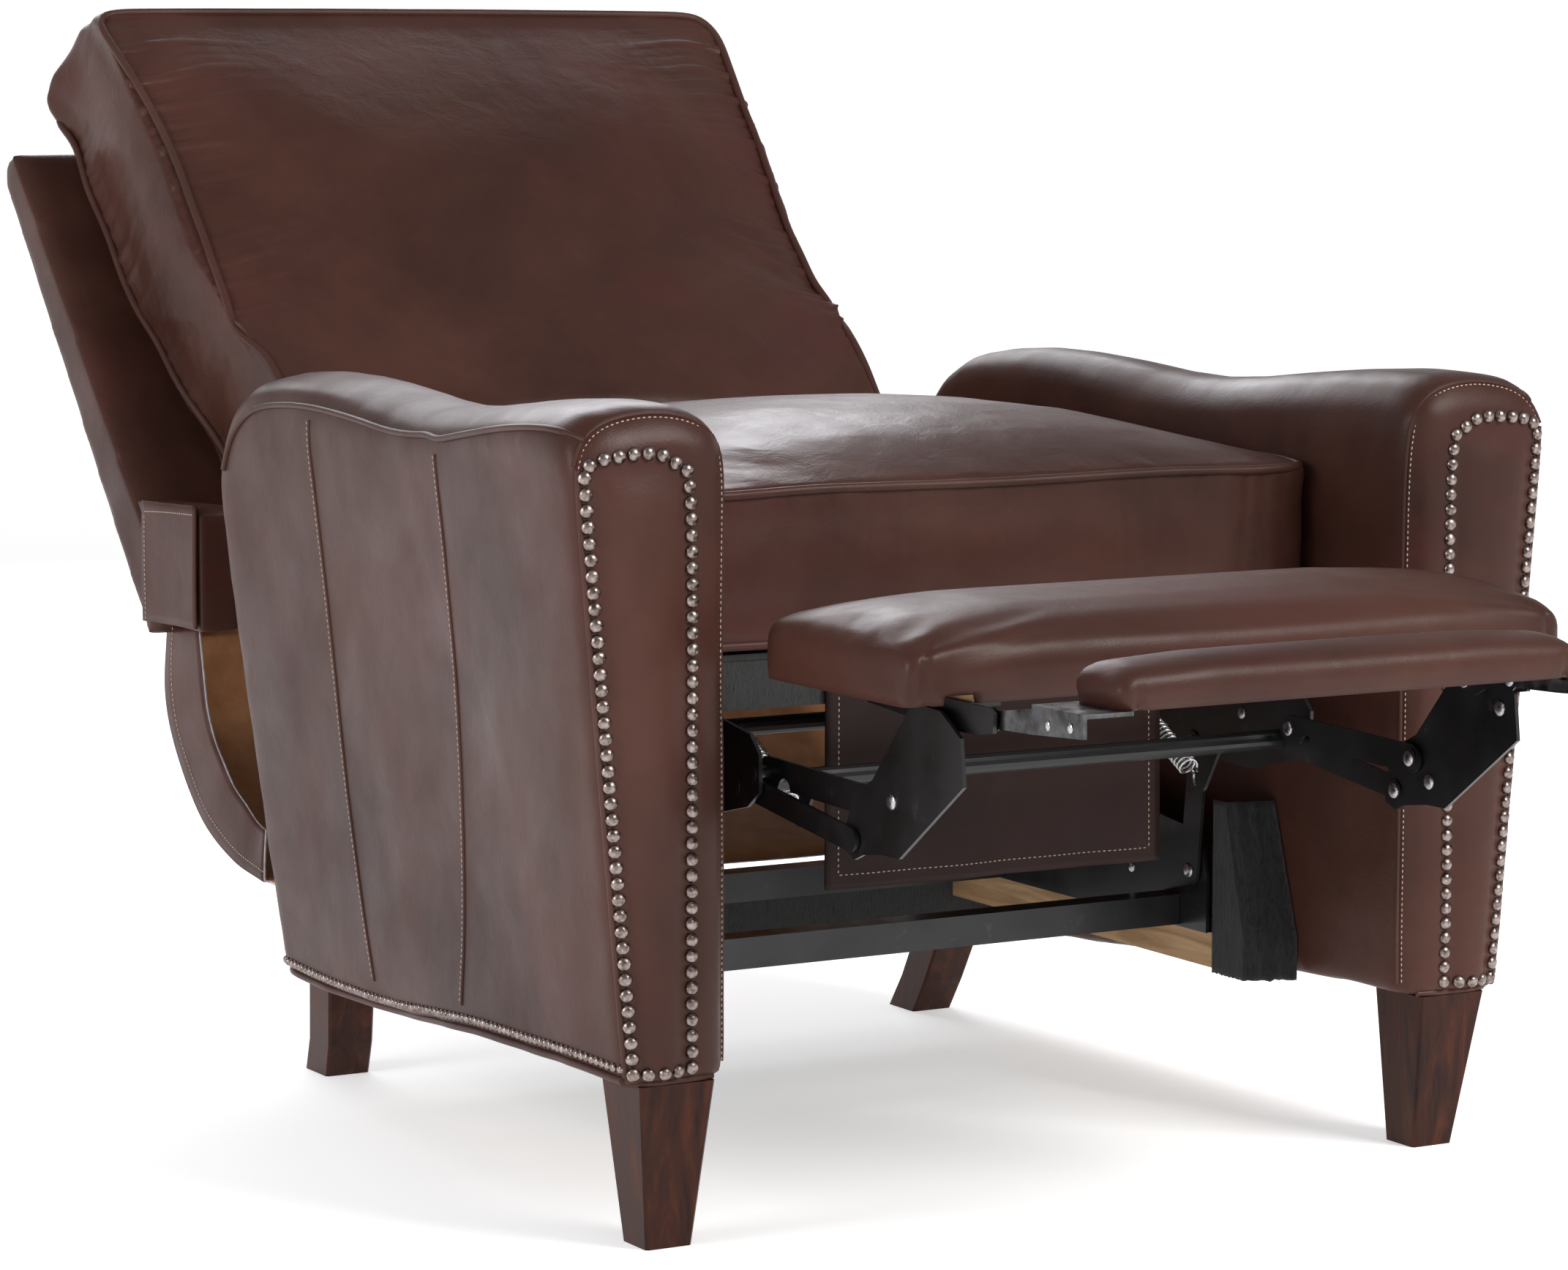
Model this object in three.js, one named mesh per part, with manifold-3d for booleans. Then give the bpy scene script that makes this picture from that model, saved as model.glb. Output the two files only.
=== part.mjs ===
// Leather push-back recliner: high-leg base with padded arms, seat on swing links, hinged back,
// extending footrest with a small folding front pad. Millimetres, +Z up, front towards -Y, X = 0 in the middle.
// The part is drawn with its back reclined and its footrest out.
import * as THREE from 'three';
import { mergeVertices } from 'three/addons/utils/BufferGeometryUtils.js';
import Module from 'manifold-3d';

const wasm = await Module();
wasm.setup();

// ---- driving dimensions ---------------------------------------------------------------------------------
const FRAME_SHIFT_Y = -443.24;        // moves the middle of the reclined chair's footprint to Y = 0
const SIDES = [-1, 1];
const GAP = 0.3;                     // between touching pieces
const STEEL = 3;                     // thickness of every mechanism plate

const ARM_INNER = 302;               // inner faces of the arms, from the middle
const ARM_BASE_FRONT = 393;          // outer face at the bottom, front
const ARM_BASE_REAR = 350;           // outer face at the bottom, rear
const ARM_FLARE = 0.085;             // outward lean of the outer face
const ARM_FRONT_Y = -22;
const ARM_TOP_Z = 619;
const ARM_FOOT_FRONT_Z = 126;
const ARM_FOOT_REAR_Z = 92;

const SEAT_HALF = 297;
const SEAT_FRONT_Y = 105;
const SEAT_REAR_Y = 648;
const SEAT_PIPING_Z = 543;
const SEAT_CROWN_Z = 590;
const DECK_Z = 412.3;

const BACK_PIVOT = [720, 380];       // [y, z] of the recline hinge
const BACK_HALF = 372;
const BACK_CUSHION_HALF = 306;
const BACK_CUSHION_NECK = 288;       // half width of the cushion between the arms
const EAR_Z = 640;                   // the cushion is wider above this height

const PAD_HALF = 285;
const PAD_REAR_Y = -25;
const PAD_FRONT_Y = -235;
const PAD_BOTTOM_Z = 420;
const PAD_TOP_Z = 482;
const FLIPPER_HALF = 197;
const FLIPPER_REAR_Y = -298;
const FLIPPER_FRONT_Y = -367;
const FLIPPER_BOTTOM_Z = 427;
const FLIPPER_TOP_Z = 462;

// inner faces of the mechanism's layers, from the middle of the chair outwards
const X_FLIPPER_BRACKET = 223.5;
const X_PAD_BRACKET = 229;
const X_GUIDE_LINK = 233.8;
const X_FRONT_PLATE = 238.6;
const X_DRIVE_LINK = 243;
const X_SEAT_PLATE = 247.4;
const X_SWING_LINK = 251.7;
const X_BASE_PLATE = 256;
const X_BASE_RAIL = 262;
const X_SPRING = 183;

// pivots of the mechanism, [y, z]
const DRIVE_PIVOT = [72, 326];
const ELBOW_PIVOT = [-88, 306];
const PAD_PIVOT = [-185, 404];
const GUIDE_FRONT_PIVOT = [-112, 334];
const GUIDE_REAR_PIVOT = [47.3, 338.2];
const DRIVE_TURN = 128.28;           // degrees the drive link turns from footrest out to footrest stowed
const FLIPPER_PIVOT = [-247, 410];
const SWING_FRONT_BASE = [210, 200];
const SWING_REAR_BASE = [560, 235];
const SWING_ARM = [-12, 109];        // from a swing link's base pivot to its seat pivot
const SPRING_LUG = [92, 293];
const SPRING_BAR = [192, 350];
const PIN_R = 5;
const HOLE_R = 5.4;
const HEAD_R = 8.5;
const HEAD_T = 1.2;

// ---- materials ------------------------------------------------------------------------------------------
const finish = (color, roughness, metalness) => new THREE.MeshStandardMaterial({ color, roughness, metalness });
const leather = () => finish(0x3a201c, 0.42, 0);
const suede = () => finish(0x8a5a34, 0.95, 0);
const stainedWood = () => finish(0x5a2a12, 0.35, 0);
const bareWood = () => finish(0xc7a070, 0.7, 0);
const blackSteel = () => finish(0x111214, 0.4, 0.6);
const brightSteel = () => finish(0xb8b8b8, 0.3, 1);
const cambric = () => finish(0x141414, 0.95, 0);
const webbing = () => finish(0x2b2b2b, 0.9, 0);

const chair = new THREE.Group();
chair.name = 'recliner_armchair';
chair.position.y = FRAME_SHIFT_Y;

function add(name, geometry, material) {
  const mesh = new THREE.Mesh(geometry, material);
  mesh.name = name;
  chair.add(mesh);
}

const sideName = (side) => (side < 0 ? 'left' : 'right');

// ---- geometry helpers -----------------------------------------------------------------------------------
function bare(geometry) {
  const copy = geometry.clone();
  copy.deleteAttribute('normal');
  copy.deleteAttribute('uv');
  return mergeVertices(copy, 1e-4);
}

function toManifold(geometry) {
  const g = bare(geometry);
  const vertProperties = new Float32Array(g.attributes.position.array);
  const triVerts = new Uint32Array(g.index.array);
  return new wasm.Manifold(new wasm.Mesh({ numProp: 3, vertProperties, triVerts }));
}

function fromManifold(solid) {
  const mesh = solid.getMesh();
  const geometry = new THREE.BufferGeometry();
  geometry.setAttribute('position', new THREE.BufferAttribute(new Float32Array(mesh.vertProperties), 3));
  geometry.setIndex(new THREE.BufferAttribute(new Uint32Array(mesh.triVerts), 1));
  return geometry;
}

function join(...geometries) {
  return fromManifold(geometries.map(toManifold).reduce((a, b) => a.add(b)));
}

function cut(geometry, ...tools) {
  return fromManifold(tools.map(toManifold).reduce((a, b) => a.subtract(b), toManifold(geometry)));
}

// a box between two corners
function block(x0, x1, y0, y1, z0, z1) {
  const g = new THREE.BoxGeometry(x1 - x0, y1 - y0, z1 - z0);
  g.translate((x0 + x1) / 2, (y0 + y1) / 2, (z0 + z1) / 2);
  return g;
}

// a box on one side of the chair, its x limits given as distances from the middle
function sideBlock(side, xNear, xFar, y0, y1, z0, z1) {
  const x = [side * xNear, side * xFar].sort((a, b) => a - b);
  return block(x[0], x[1], y0, y1, z0, z1);
}

// a [y, z] shape extruded along x between two distances from the middle
function profile(shape, x0, x1, curveSegments = 6) {
  const g = new THREE.ExtrudeGeometry(shape, { depth: x1 - x0, bevelEnabled: false, curveSegments });
  const turn = new THREE.Matrix4().makeBasis(
    new THREE.Vector3(0, 1, 0),
    new THREE.Vector3(0, 0, 1),
    new THREE.Vector3(1, 0, 0),
  );
  g.applyMatrix4(turn);
  g.translate(x0, 0, 0);
  return g;
}

// a [y, z] point turned about another by some degrees, from +Y towards +Z
function turned(point, centre, degrees) {
  const a = (degrees * Math.PI) / 180;
  const [dy, dz] = [point[0] - centre[0], point[1] - centre[1]];
  return [centre[0] + dy * Math.cos(a) - dz * Math.sin(a), centre[1] + dy * Math.sin(a) + dz * Math.cos(a)];
}

const polygon = (points) => new THREE.Shape(points.map(([y, z]) => new THREE.Vector2(y, z)));

// a steel plate in one layer of the mechanism, drilled at the pivots given
function layerPlate(side, shape, xInner, pivots = []) {
  const x0 = side < 0 ? -xInner - STEEL : xInner;
  const plate = profile(shape, x0, x0 + STEEL);
  if (!pivots.length) return plate;
  const bores = pivots.map((c) => pin(side, c, xInner - 1, xInner + STEEL + 1, HOLE_R));
  return cut(plate, ...bores);
}

// a round bar along x
function pin(side, centre, xNear, xFar, radius, segments = 14) {
  const g = new THREE.CylinderGeometry(radius, radius, xFar - xNear, segments);
  g.rotateZ(Math.PI / 2);
  g.translate(side * (xNear + xFar) / 2, centre[0], centre[1]);
  return g;
}

// a rivet through the plates between xNear and xFar, with a head outside each end that is asked for
function rivet(side, centre, xNear, xFar, nearHead, farHead) {
  const parts = [pin(side, centre, xNear, xFar, PIN_R)];
  if (nearHead) parts.push(pin(side, centre, xNear - HEAD_T, xNear + 0.01, HEAD_R));
  if (farHead) parts.push(pin(side, centre, xFar - 0.01, xFar + HEAD_T, HEAD_R));
  return parts;
}

// outline of a flat bar with round ends between two pivots
function barShape(a, b, halfWidth) {
  const angle = Math.atan2(b[1] - a[1], b[0] - a[0]);
  const shape = new THREE.Shape();
  shape.absarc(a[0], a[1], halfWidth, angle + Math.PI / 2, angle - Math.PI / 2, false);
  shape.absarc(b[0], b[1], halfWidth, angle - Math.PI / 2, angle + Math.PI / 2, false);
  return shape;
}

// a closed body through rings of points, each ring lying near a plane of constant x
function loft(rings) {
  const n = rings[0].length;
  const position = rings.flat().flat();
  const index = [];
  for (let r = 0; r + 1 < rings.length; r += 1) {
    for (let i = 0; i < n; i += 1) {
      const a = r * n + i;
      const b = r * n + ((i + 1) % n);
      index.push(a, b, b + n, a, b + n, a + n);
    }
  }
  const flat = (ring, u, v) => ring.map((p) => new THREE.Vector2(p[u], p[v]));
  const lastRing = (rings.length - 1) * n;
  const upright = Math.abs(rings[0][0][2] - rings[0][Math.floor(n / 2)][2]) > 1e-6;
  const [u, v] = upright ? [1, 2] : [0, 1];
  const caps = THREE.ShapeUtils.triangulateShape(flat(rings[0], u, v), []);
  const area = THREE.ShapeUtils.area(flat(rings[0], u, v));
  for (const [a, b, c] of caps) {
    if (area > 0) index.push(c, b, a, lastRing + a, lastRing + b, lastRing + c);
    else index.push(a, b, c, lastRing + c, lastRing + b, lastRing + a);
  }
  const geometry = new THREE.BufferGeometry();
  geometry.setAttribute('position', new THREE.Float32BufferAttribute(position, 3));
  geometry.setIndex(index);
  return outward(geometry);
}

// reverses every face when the body is inside out
function outward(geometry) {
  const p = geometry.attributes.position;
  const index = geometry.index.array;
  const [a, b, c] = [new THREE.Vector3(), new THREE.Vector3(), new THREE.Vector3()];
  let volume = 0;
  for (let i = 0; i < index.length; i += 3) {
    a.fromBufferAttribute(p, index[i]);
    b.fromBufferAttribute(p, index[i + 1]);
    c.fromBufferAttribute(p, index[i + 2]);
    volume += a.dot(b.cross(c));
  }
  if (volume < 0) {
    const flipped = Array.from(index);
    for (let i = 0; i < flipped.length; i += 3) {
      [flipped[i + 1], flipped[i + 2]] = [flipped[i + 2], flipped[i + 1]];
    }
    geometry.setIndex(flipped);
  }
  return geometry;
}

const clamp = (v) => Math.min(1, Math.max(0, v));
const smooth = (v) => clamp(v) ** 2 * (3 - 2 * clamp(v));
const spline = (points, steps) => new THREE.SplineCurve(points.map(([y, z]) => new THREE.Vector2(y, z)))
  .getPoints(steps)
  .map((p) => [p.x, p.y]);

// ---- arms -----------------------------------------------------------------------------------------------
const armUnderside = [
  [ARM_FRONT_Y, ARM_FOOT_FRONT_Z], [60, ARM_FOOT_FRONT_Z], [200, 118], [305, 111.5], [412, 101],
  [509, 94.5], [590, ARM_FOOT_REAR_Z], [688, ARM_FOOT_REAR_Z],
];
const armRear = spline([[694, 105], [712, 230], [728, 360], [741, 470], [736, 535], [700, 583]], 8);
const armTop = spline([
  [665, 599], [600, 608], [525, 610], [440, 606], [350, 599], [270, 600], [180, 608], [90, 616],
  [20, ARM_TOP_Z], [-10, 613],
], 12);
const armOutline = [...armUnderside, ...armRear, ...armTop, [ARM_FRONT_Y, 594]];

// [share of the arm's width, drop of the top, set-back of the front, set-back of the rear]
const armStations = [
  [0, 42, 5, 8], [0.035, 24, 2, 4], [0.13, 9, 0, 0], [0.3, 1, 0, 0], [0.52, 0, 0, 0],
  [0.8, 5, 0, 0], [0.95, 15, 2, 5], [1, 30, 5, 12],
];

function armOuter(y, z) {
  const base = ARM_BASE_REAR + (ARM_BASE_FRONT - ARM_BASE_REAR) * smooth(1 - y / 500);
  return base + ARM_FLARE * (z - ARM_FOOT_FRONT_Z);
}

function armRing(side, [share, drop, front, rear]) {
  return armOutline.map(([y, z]) => {
    const x = ARM_INNER + share * (armOuter(y, z) - ARM_INNER);
    const yBack = y + front * clamp((20 - y) / 40) - rear * clamp((y - 600) / 80);
    return [side * x, yBack, z - drop * clamp((z - 470) / 110)];
  });
}

for (const side of SIDES) {
  add(`arm_${sideName(side)}`, loft(armStations.map((s) => armRing(side, s))), leather());
}

// ---- legs -----------------------------------------------------------------------------------------------
function legRing(side, x0, x1, y0, y1, z) {
  const c = 2;
  return [
    [side * (x0 + c), y0, z], [side * (x1 - c), y0, z], [side * x1, y0 + c, z], [side * x1, y1 - c, z],
    [side * (x1 - c), y1, z], [side * (x0 + c), y1, z], [side * x0, y1 - c, z], [side * x0, y0 + c, z],
  ];
}

for (const side of SIDES) {
  const frontTop = ARM_FOOT_FRONT_Z - GAP;
  const rearTop = ARM_FOOT_REAR_Z - GAP;
  const front = [legRing(side, 327, 365, 0, 37, 0), legRing(side, 318, 380, -20, 42, frontTop)];
  const rear = [
    legRing(side, 272, 312, 680, 724, 0),
    legRing(side, 275, 316, 665, 707, 30),
    legRing(side, 279, 321, 653, 695, 62),
    legRing(side, 281, 324, 646, 688, rearTop),
  ];
  add(`front_leg_${sideName(side)}`, loft(front), stainedWood());
  add(`rear_leg_${sideName(side)}`, loft(rear), stainedWood());
}

// ---- base rails and cross tubes -------------------------------------------------------------------------
const RAIL_TOP_Z = 150;
const SIDE_RAIL_Z = 121;             // undersides of the side rails, level with the arms' undersides
const REAR_RAIL_FRONT_Y = 596;
for (const side of SIDES) {
  const rail = sideBlock(side, X_BASE_RAIL, ARM_INNER - GAP, 150, REAR_RAIL_FRONT_Y - GAP, SIDE_RAIL_Z, RAIL_TOP_Z);
  add(`base_side_rail_${sideName(side)}`, rail, bareWood());
}
const rearRailX = ARM_INNER - GAP;
add('base_rear_rail', block(-rearRailX, rearRailX, REAR_RAIL_FRONT_Y, 690, ARM_FOOT_REAR_Z, 140), bareWood());

const TUBE = 25;
const tubeX = X_BASE_PLATE - GAP;
add('front_cross_tube', block(-tubeX, tubeX, 228, 228 + TUBE, 152, 152 + TUBE), blackSteel());
add('rear_cross_tube', block(-tubeX, tubeX, 500, 500 + TUBE, 152, 152 + TUBE), blackSteel());

// ---- base plates, with the recline hinge and the lower pivots of the swing links --------------------------
const CLOTH_FRONT_Y = 122; // front edge of the dust cloth, in front of the side rail
const baseOutline = [
  [190, RAIL_TOP_Z + GAP], [585, RAIL_TOP_Z + GAP], [690, 300], [739, 366], [739, 394], [722, 400], [702, 396],
  [600, 300], [440, 262], [225, 236], [196, 218], [190, 200],
];
for (const side of SIDES) {
  const pivots = [BACK_PIVOT, SWING_FRONT_BASE, SWING_REAR_BASE];
  const plate = layerPlate(side, polygon(baseOutline), X_BASE_PLATE, pivots);
  const footZ = RAIL_TOP_Z + GAP;
  const foot = sideBlock(side, X_BASE_PLATE + STEEL - 0.01, 292, 300, 580, footZ, footZ + STEEL);
  add(`base_plate_${sideName(side)}`, join(plate, foot), blackSteel());
  const clothX = X_BASE_PLATE + STEEL + 0.4;
  const clothZ = [118, 262];
  const hung = sideBlock(side, clothX, X_BASE_RAIL - 0.4, CLOTH_FRONT_Y, 188, ...clothZ);
  const returned = sideBlock(side, clothX, ARM_INNER - 0.8, CLOTH_FRONT_Y, CLOTH_FRONT_Y + 2, ...clothZ);
  add(`cambric_strip_${sideName(side)}`, join(hung, returned), cambric());
}

// ---- swing links between base and seat ------------------------------------------------------------------
const offset = ([y, z], [dy, dz]) => [y + dy, z + dz];
const swingFrontTop = offset(SWING_FRONT_BASE, SWING_ARM);
const swingRearTop = offset(SWING_REAR_BASE, SWING_ARM);
for (const side of SIDES) {
  for (const [end, low, high] of [
    ['front', SWING_FRONT_BASE, swingFrontTop],
    ['rear', SWING_REAR_BASE, swingRearTop],
  ]) {
    const bar = layerPlate(side, barShape(low, high, 12), X_SWING_LINK);
    const lowPin = rivet(side, low, X_SWING_LINK + 1, X_BASE_PLATE + STEEL + GAP, false, true);
    const highPin = rivet(side, high, X_SEAT_PLATE - GAP, X_SWING_LINK + 1, true, false);
    add(`${end}_swing_link_${sideName(side)}`, join(bar, ...lowPin, ...highPin), blackSteel());
  }
}

// ---- seat: steel plates, wooden frame, deck, cushion, front flap ------------------------------------------
const SEAT_FLANGE_Z = 372;
const BAR_R = 7;
const seatPlateOutline = [
  [36, 324], [54, 311], [72, 307], [120, 296], [600, 325], [600, SEAT_FLANGE_Z + STEEL],
  [110, SEAT_FLANGE_Z + STEEL], [50, 366], [36, 352],
];
const RAIL_Z0 = SEAT_FLANGE_Z + STEEL + GAP;
const RAIL_Z1 = DECK_Z - GAP;
const RAIL_WIDE = 292;
for (const side of SIDES) {
  const pivots = [DRIVE_PIVOT, GUIDE_REAR_PIVOT, swingFrontTop, swingRearTop];
  const drilled = layerPlate(side, polygon(seatPlateOutline), X_SEAT_PLATE, pivots);
  const barHole = pin(side, SPRING_BAR, X_SEAT_PLATE - 1, X_SEAT_PLATE + STEEL + 1, BAR_R + GAP, 12);
  const plate = cut(drilled, barHole);
  const flangeX = X_SEAT_PLATE + STEEL - 0.01;
  const flange = sideBlock(side, flangeX, 285, 112, 600, SEAT_FLANGE_Z, SEAT_FLANGE_Z + STEEL);
  add(`seat_plate_${sideName(side)}`, join(plate, flange), blackSteel());
  const rail = sideBlock(side, 254, RAIL_WIDE, 150.3, 599.7, RAIL_Z0, RAIL_Z1);
  add(`seat_side_rail_${sideName(side)}`, rail, bareWood());
}
add('seat_front_rail', block(-RAIL_WIDE, RAIL_WIDE, 111, 150, RAIL_Z0, RAIL_Z1), bareWood());
add('seat_rear_rail', block(-RAIL_WIDE, RAIL_WIDE, 600, 638, RAIL_Z0, RAIL_Z1), bareWood());
add('seat_deck', block(-290, 290, 112, 637, DECK_Z, DECK_Z + 5), webbing());
add('seat_front_flap', block(-154, 154, 106, 110.6, 231, RAIL_Z1), leather());
const barEnd = X_SEAT_PLATE + STEEL + 1;
add('seat_cross_bar', pin(1, SPRING_BAR, -barEnd, barEnd, BAR_R, 12), blackSteel());

const seatZ0 = DECK_Z + 5 + GAP;
const seatOutline = [
  [SEAT_FRONT_Y + 6, seatZ0], [SEAT_REAR_Y - 8, seatZ0], [SEAT_REAR_Y, seatZ0 + 12], [SEAT_REAR_Y + 2, 490],
  [SEAT_REAR_Y - 4, 545], [SEAT_REAR_Y - 40, 562], [540, 577], [430, SEAT_CROWN_Z - 1], [300, SEAT_CROWN_Z],
  [190, 577], [125, 556], [SEAT_FRONT_Y, SEAT_PIPING_Z], [SEAT_FRONT_Y - 6, 485], [SEAT_FRONT_Y, seatZ0 + 8],
];
const seatStations = [[1, 0.1, 8], [0.985, 0.16, 2], [0.9, 0.42, 0], [0.6, 0.86, 0], [0.25, 1, 0]];
function mirrored(stations) {
  const near = stations.map(([share, ...rest]) => [-share, ...rest]);
  const far = stations.map((s) => [...s]).reverse();
  return [...near, ...far];
}
const SEAT_MID = [(SEAT_FRONT_Y + SEAT_REAR_Y) / 2, 480];
const towards = (p, centre, inset) => {
  const d = Math.hypot(p[0] - centre[0], p[1] - centre[1]);
  return [p[0] - ((p[0] - centre[0]) * inset) / d, p[1] - ((p[1] - centre[1]) * inset) / d];
};
const seatRings = mirrored(seatStations).map(([share, crown, inset]) => seatOutline.map((p) => {
  const z = p[1] > SEAT_PIPING_Z ? SEAT_PIPING_Z + (p[1] - SEAT_PIPING_Z) * crown : p[1];
  const [y, zIn] = towards([p[0], z], SEAT_MID, inset);
  return [share * SEAT_HALF, y, zIn];
}));
add('seat_cushion', loft(seatRings), leather());

// ---- back: frame panel, side posts, hinge brackets, cushion, side flaps ------------------------------------
const backRearLow = [917, 358];
const backRearHigh = [1257, 755];
const backFrontHigh = [1229.5, 778.5];
const backFrontLow = [871.4, 397];
const backShape = new THREE.Shape();
backShape.moveTo(...backRearLow);
backShape.lineTo(1250.5, 747.4);
backShape.quadraticCurveTo(...backRearHigh, 1249.4, 761.5);
backShape.lineTo(1237.1, 772);
backShape.quadraticCurveTo(...backFrontHigh, 1222.7, 771.2);
backShape.lineTo(...backFrontLow);
backShape.closePath();
add('back_frame', profile(backShape, -BACK_HALF, BACK_HALF, 4), leather());

const postOutline = [[800, 372], [869, 372], [869.6, 396.2], [943.5, 476], [806, 480], [800, 474]];
const backBracketOutline = [
  [703, 366], [712, 361], [738, 361], [863, 391], [912, 445], [890, 444], [846, 420], [738, 399], [706, 399],
];
const flapOutline = [[797, 372], [850, 374], [917, 367], [917, 470], [797, 484]];
for (const side of SIDES) {
  const x0 = side < 0 ? -BACK_HALF + GAP : 336;
  add(`back_post_${sideName(side)}`, profile(polygon(postOutline), x0, x0 + BACK_HALF - GAP - 336), leather());
  const bracket = layerPlate(side, polygon(backBracketOutline), X_SWING_LINK - 0.3);
  const hinge = rivet(side, BACK_PIVOT, X_SWING_LINK + 1, X_BASE_PLATE + STEEL + GAP, false, true);
  add(`back_bracket_${sideName(side)}`, join(bracket, ...hinge), blackSteel());
  add(`back_side_flap_${sideName(side)}`, layerPlate(side, polygon(flapOutline), BACK_HALF + 0.6), leather());
}

const cushionOutline = [
  [945, 481], [760, 497], [742, 512], [746, 532], [800, 585], [880, 655], [940, 722], [1001, 798], [1075, 855],
  [1135, 893], [1166, 906], [1208, 893], [1243, 850], [1242, 803], [1224, 778], [1130, 678], [1040, 582],
];
// [half-width share, crown share, sideways inset, 1 where only the wide upper part remains]
const cushionStations = [
  [1, 0, 8, 1], [0.985, 0.05, 2, 1], [0.942, 0.1, 0, 0], [0.8, 0.55, 0, 0], [0.45, 1, 0, 0],
];
const CUSHION_MID = [1040, 720];
const CUSHION_CROWN = 26;
const cushionFace = { from: [800, 585], to: [1135, 893] };
const faceLength = Math.hypot(cushionFace.to[0] - cushionFace.from[0], cushionFace.to[1] - cushionFace.from[1]);
const faceDir = [0, 1].map((i) => (cushionFace.to[i] - cushionFace.from[i]) / faceLength);

const panelTopZ = backFrontHigh[1];

function cushionPoint(p, share, crown, inset, upper) {
  const along = (p[0] - cushionFace.from[0]) * faceDir[0] + (p[1] - cushionFace.from[1]) * faceDir[1];
  const inFront = (p[1] - cushionFace.from[1]) * faceDir[0] - (p[0] - cushionFace.from[0]) * faceDir[1] > -12;
  const swell = inFront ? CUSHION_CROWN * (1 - crown) * Math.sin(Math.PI * clamp(along / faceLength)) : 0;
  let [y, z] = [p[0] + swell * faceDir[1], p[1] - swell * faceDir[0]];
  if (upper && z < EAR_Z) {
    y += (EAR_Z - z) * (faceDir[0] / faceDir[1]) * clamp((1000 - y) / 100 + 0.9);
    z = EAR_Z + (z - EAR_Z) * 0.12;
  }
  [y, z] = towards([y, z], CUSHION_MID, inset);
  const panelSlope = (backFrontHigh[0] - backFrontLow[0]) / (backFrontHigh[1] - backFrontLow[1]);
  const panelY = backFrontLow[0] + (z - backFrontLow[1]) * panelSlope;
  return [share * BACK_CUSHION_HALF, z < panelTopZ ? Math.min(y, panelY - 3) : y, z];
}
const cushionRings = mirrored(cushionStations).map(([share, ...rest]) => (
  cushionOutline.map((p) => cushionPoint(p, share, ...rest))
));
add('back_cushion', loft(cushionRings), leather());

// ---- rear apron: a leather sheet from the back's lower edge to the base rail ------------------------------
const APRON_T = 3;
const APRON_HALF = 352;
const apronPath = spline([[925, 348], [929, 305], [905, 255], [850, 203], [783, 176], [714, 165]], 12);
const apronTail = spline([[716, 165], [702, 158], [693, 147]], 4);

function strip(path, halfWidth) {
  const left = [];
  const right = [];
  path.forEach((p, i) => {
    const a = path[Math.max(0, i - 1)];
    const b = path[Math.min(path.length - 1, i + 1)];
    const d = Math.hypot(b[0] - a[0], b[1] - a[1]);
    const n = [(-(b[1] - a[1]) / d) * (APRON_T / 2), ((b[0] - a[0]) / d) * (APRON_T / 2)];
    left.push([p[0] + n[0], p[1] + n[1]]);
    right.unshift([p[0] - n[0], p[1] - n[1]]);
  });
  return profile(polygon([...left, ...right]), -halfWidth, halfWidth);
}
const apronReturn = polygon([...apronPath, [723, 213], [797, 251], [843, 300], [850, 362], [868, 366]]);
const apron = join(
  strip(apronPath, APRON_HALF),
  strip(apronTail, 296),
  profile(apronReturn, -APRON_HALF, -APRON_HALF + APRON_T),
  profile(apronReturn, APRON_HALF - APRON_T, APRON_HALF),
);
add('rear_apron', apron, suede());

// ---- footrest linkage -----------------------------------------------------------------------------------
const TORQUE_R = 8;
const lugShape = barShape(DRIVE_PIVOT, SPRING_LUG, 7);
const lugs = SIDES.map((side) => profile(lugShape, side * X_SPRING - 1.5, side * X_SPRING + 1.5));
const torqueEnd = X_PAD_BRACKET + 14 - GAP;
add('torque_tube', join(pin(1, DRIVE_PIVOT, -torqueEnd, torqueEnd, TORQUE_R, 16), ...lugs), blackSteel());

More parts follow.
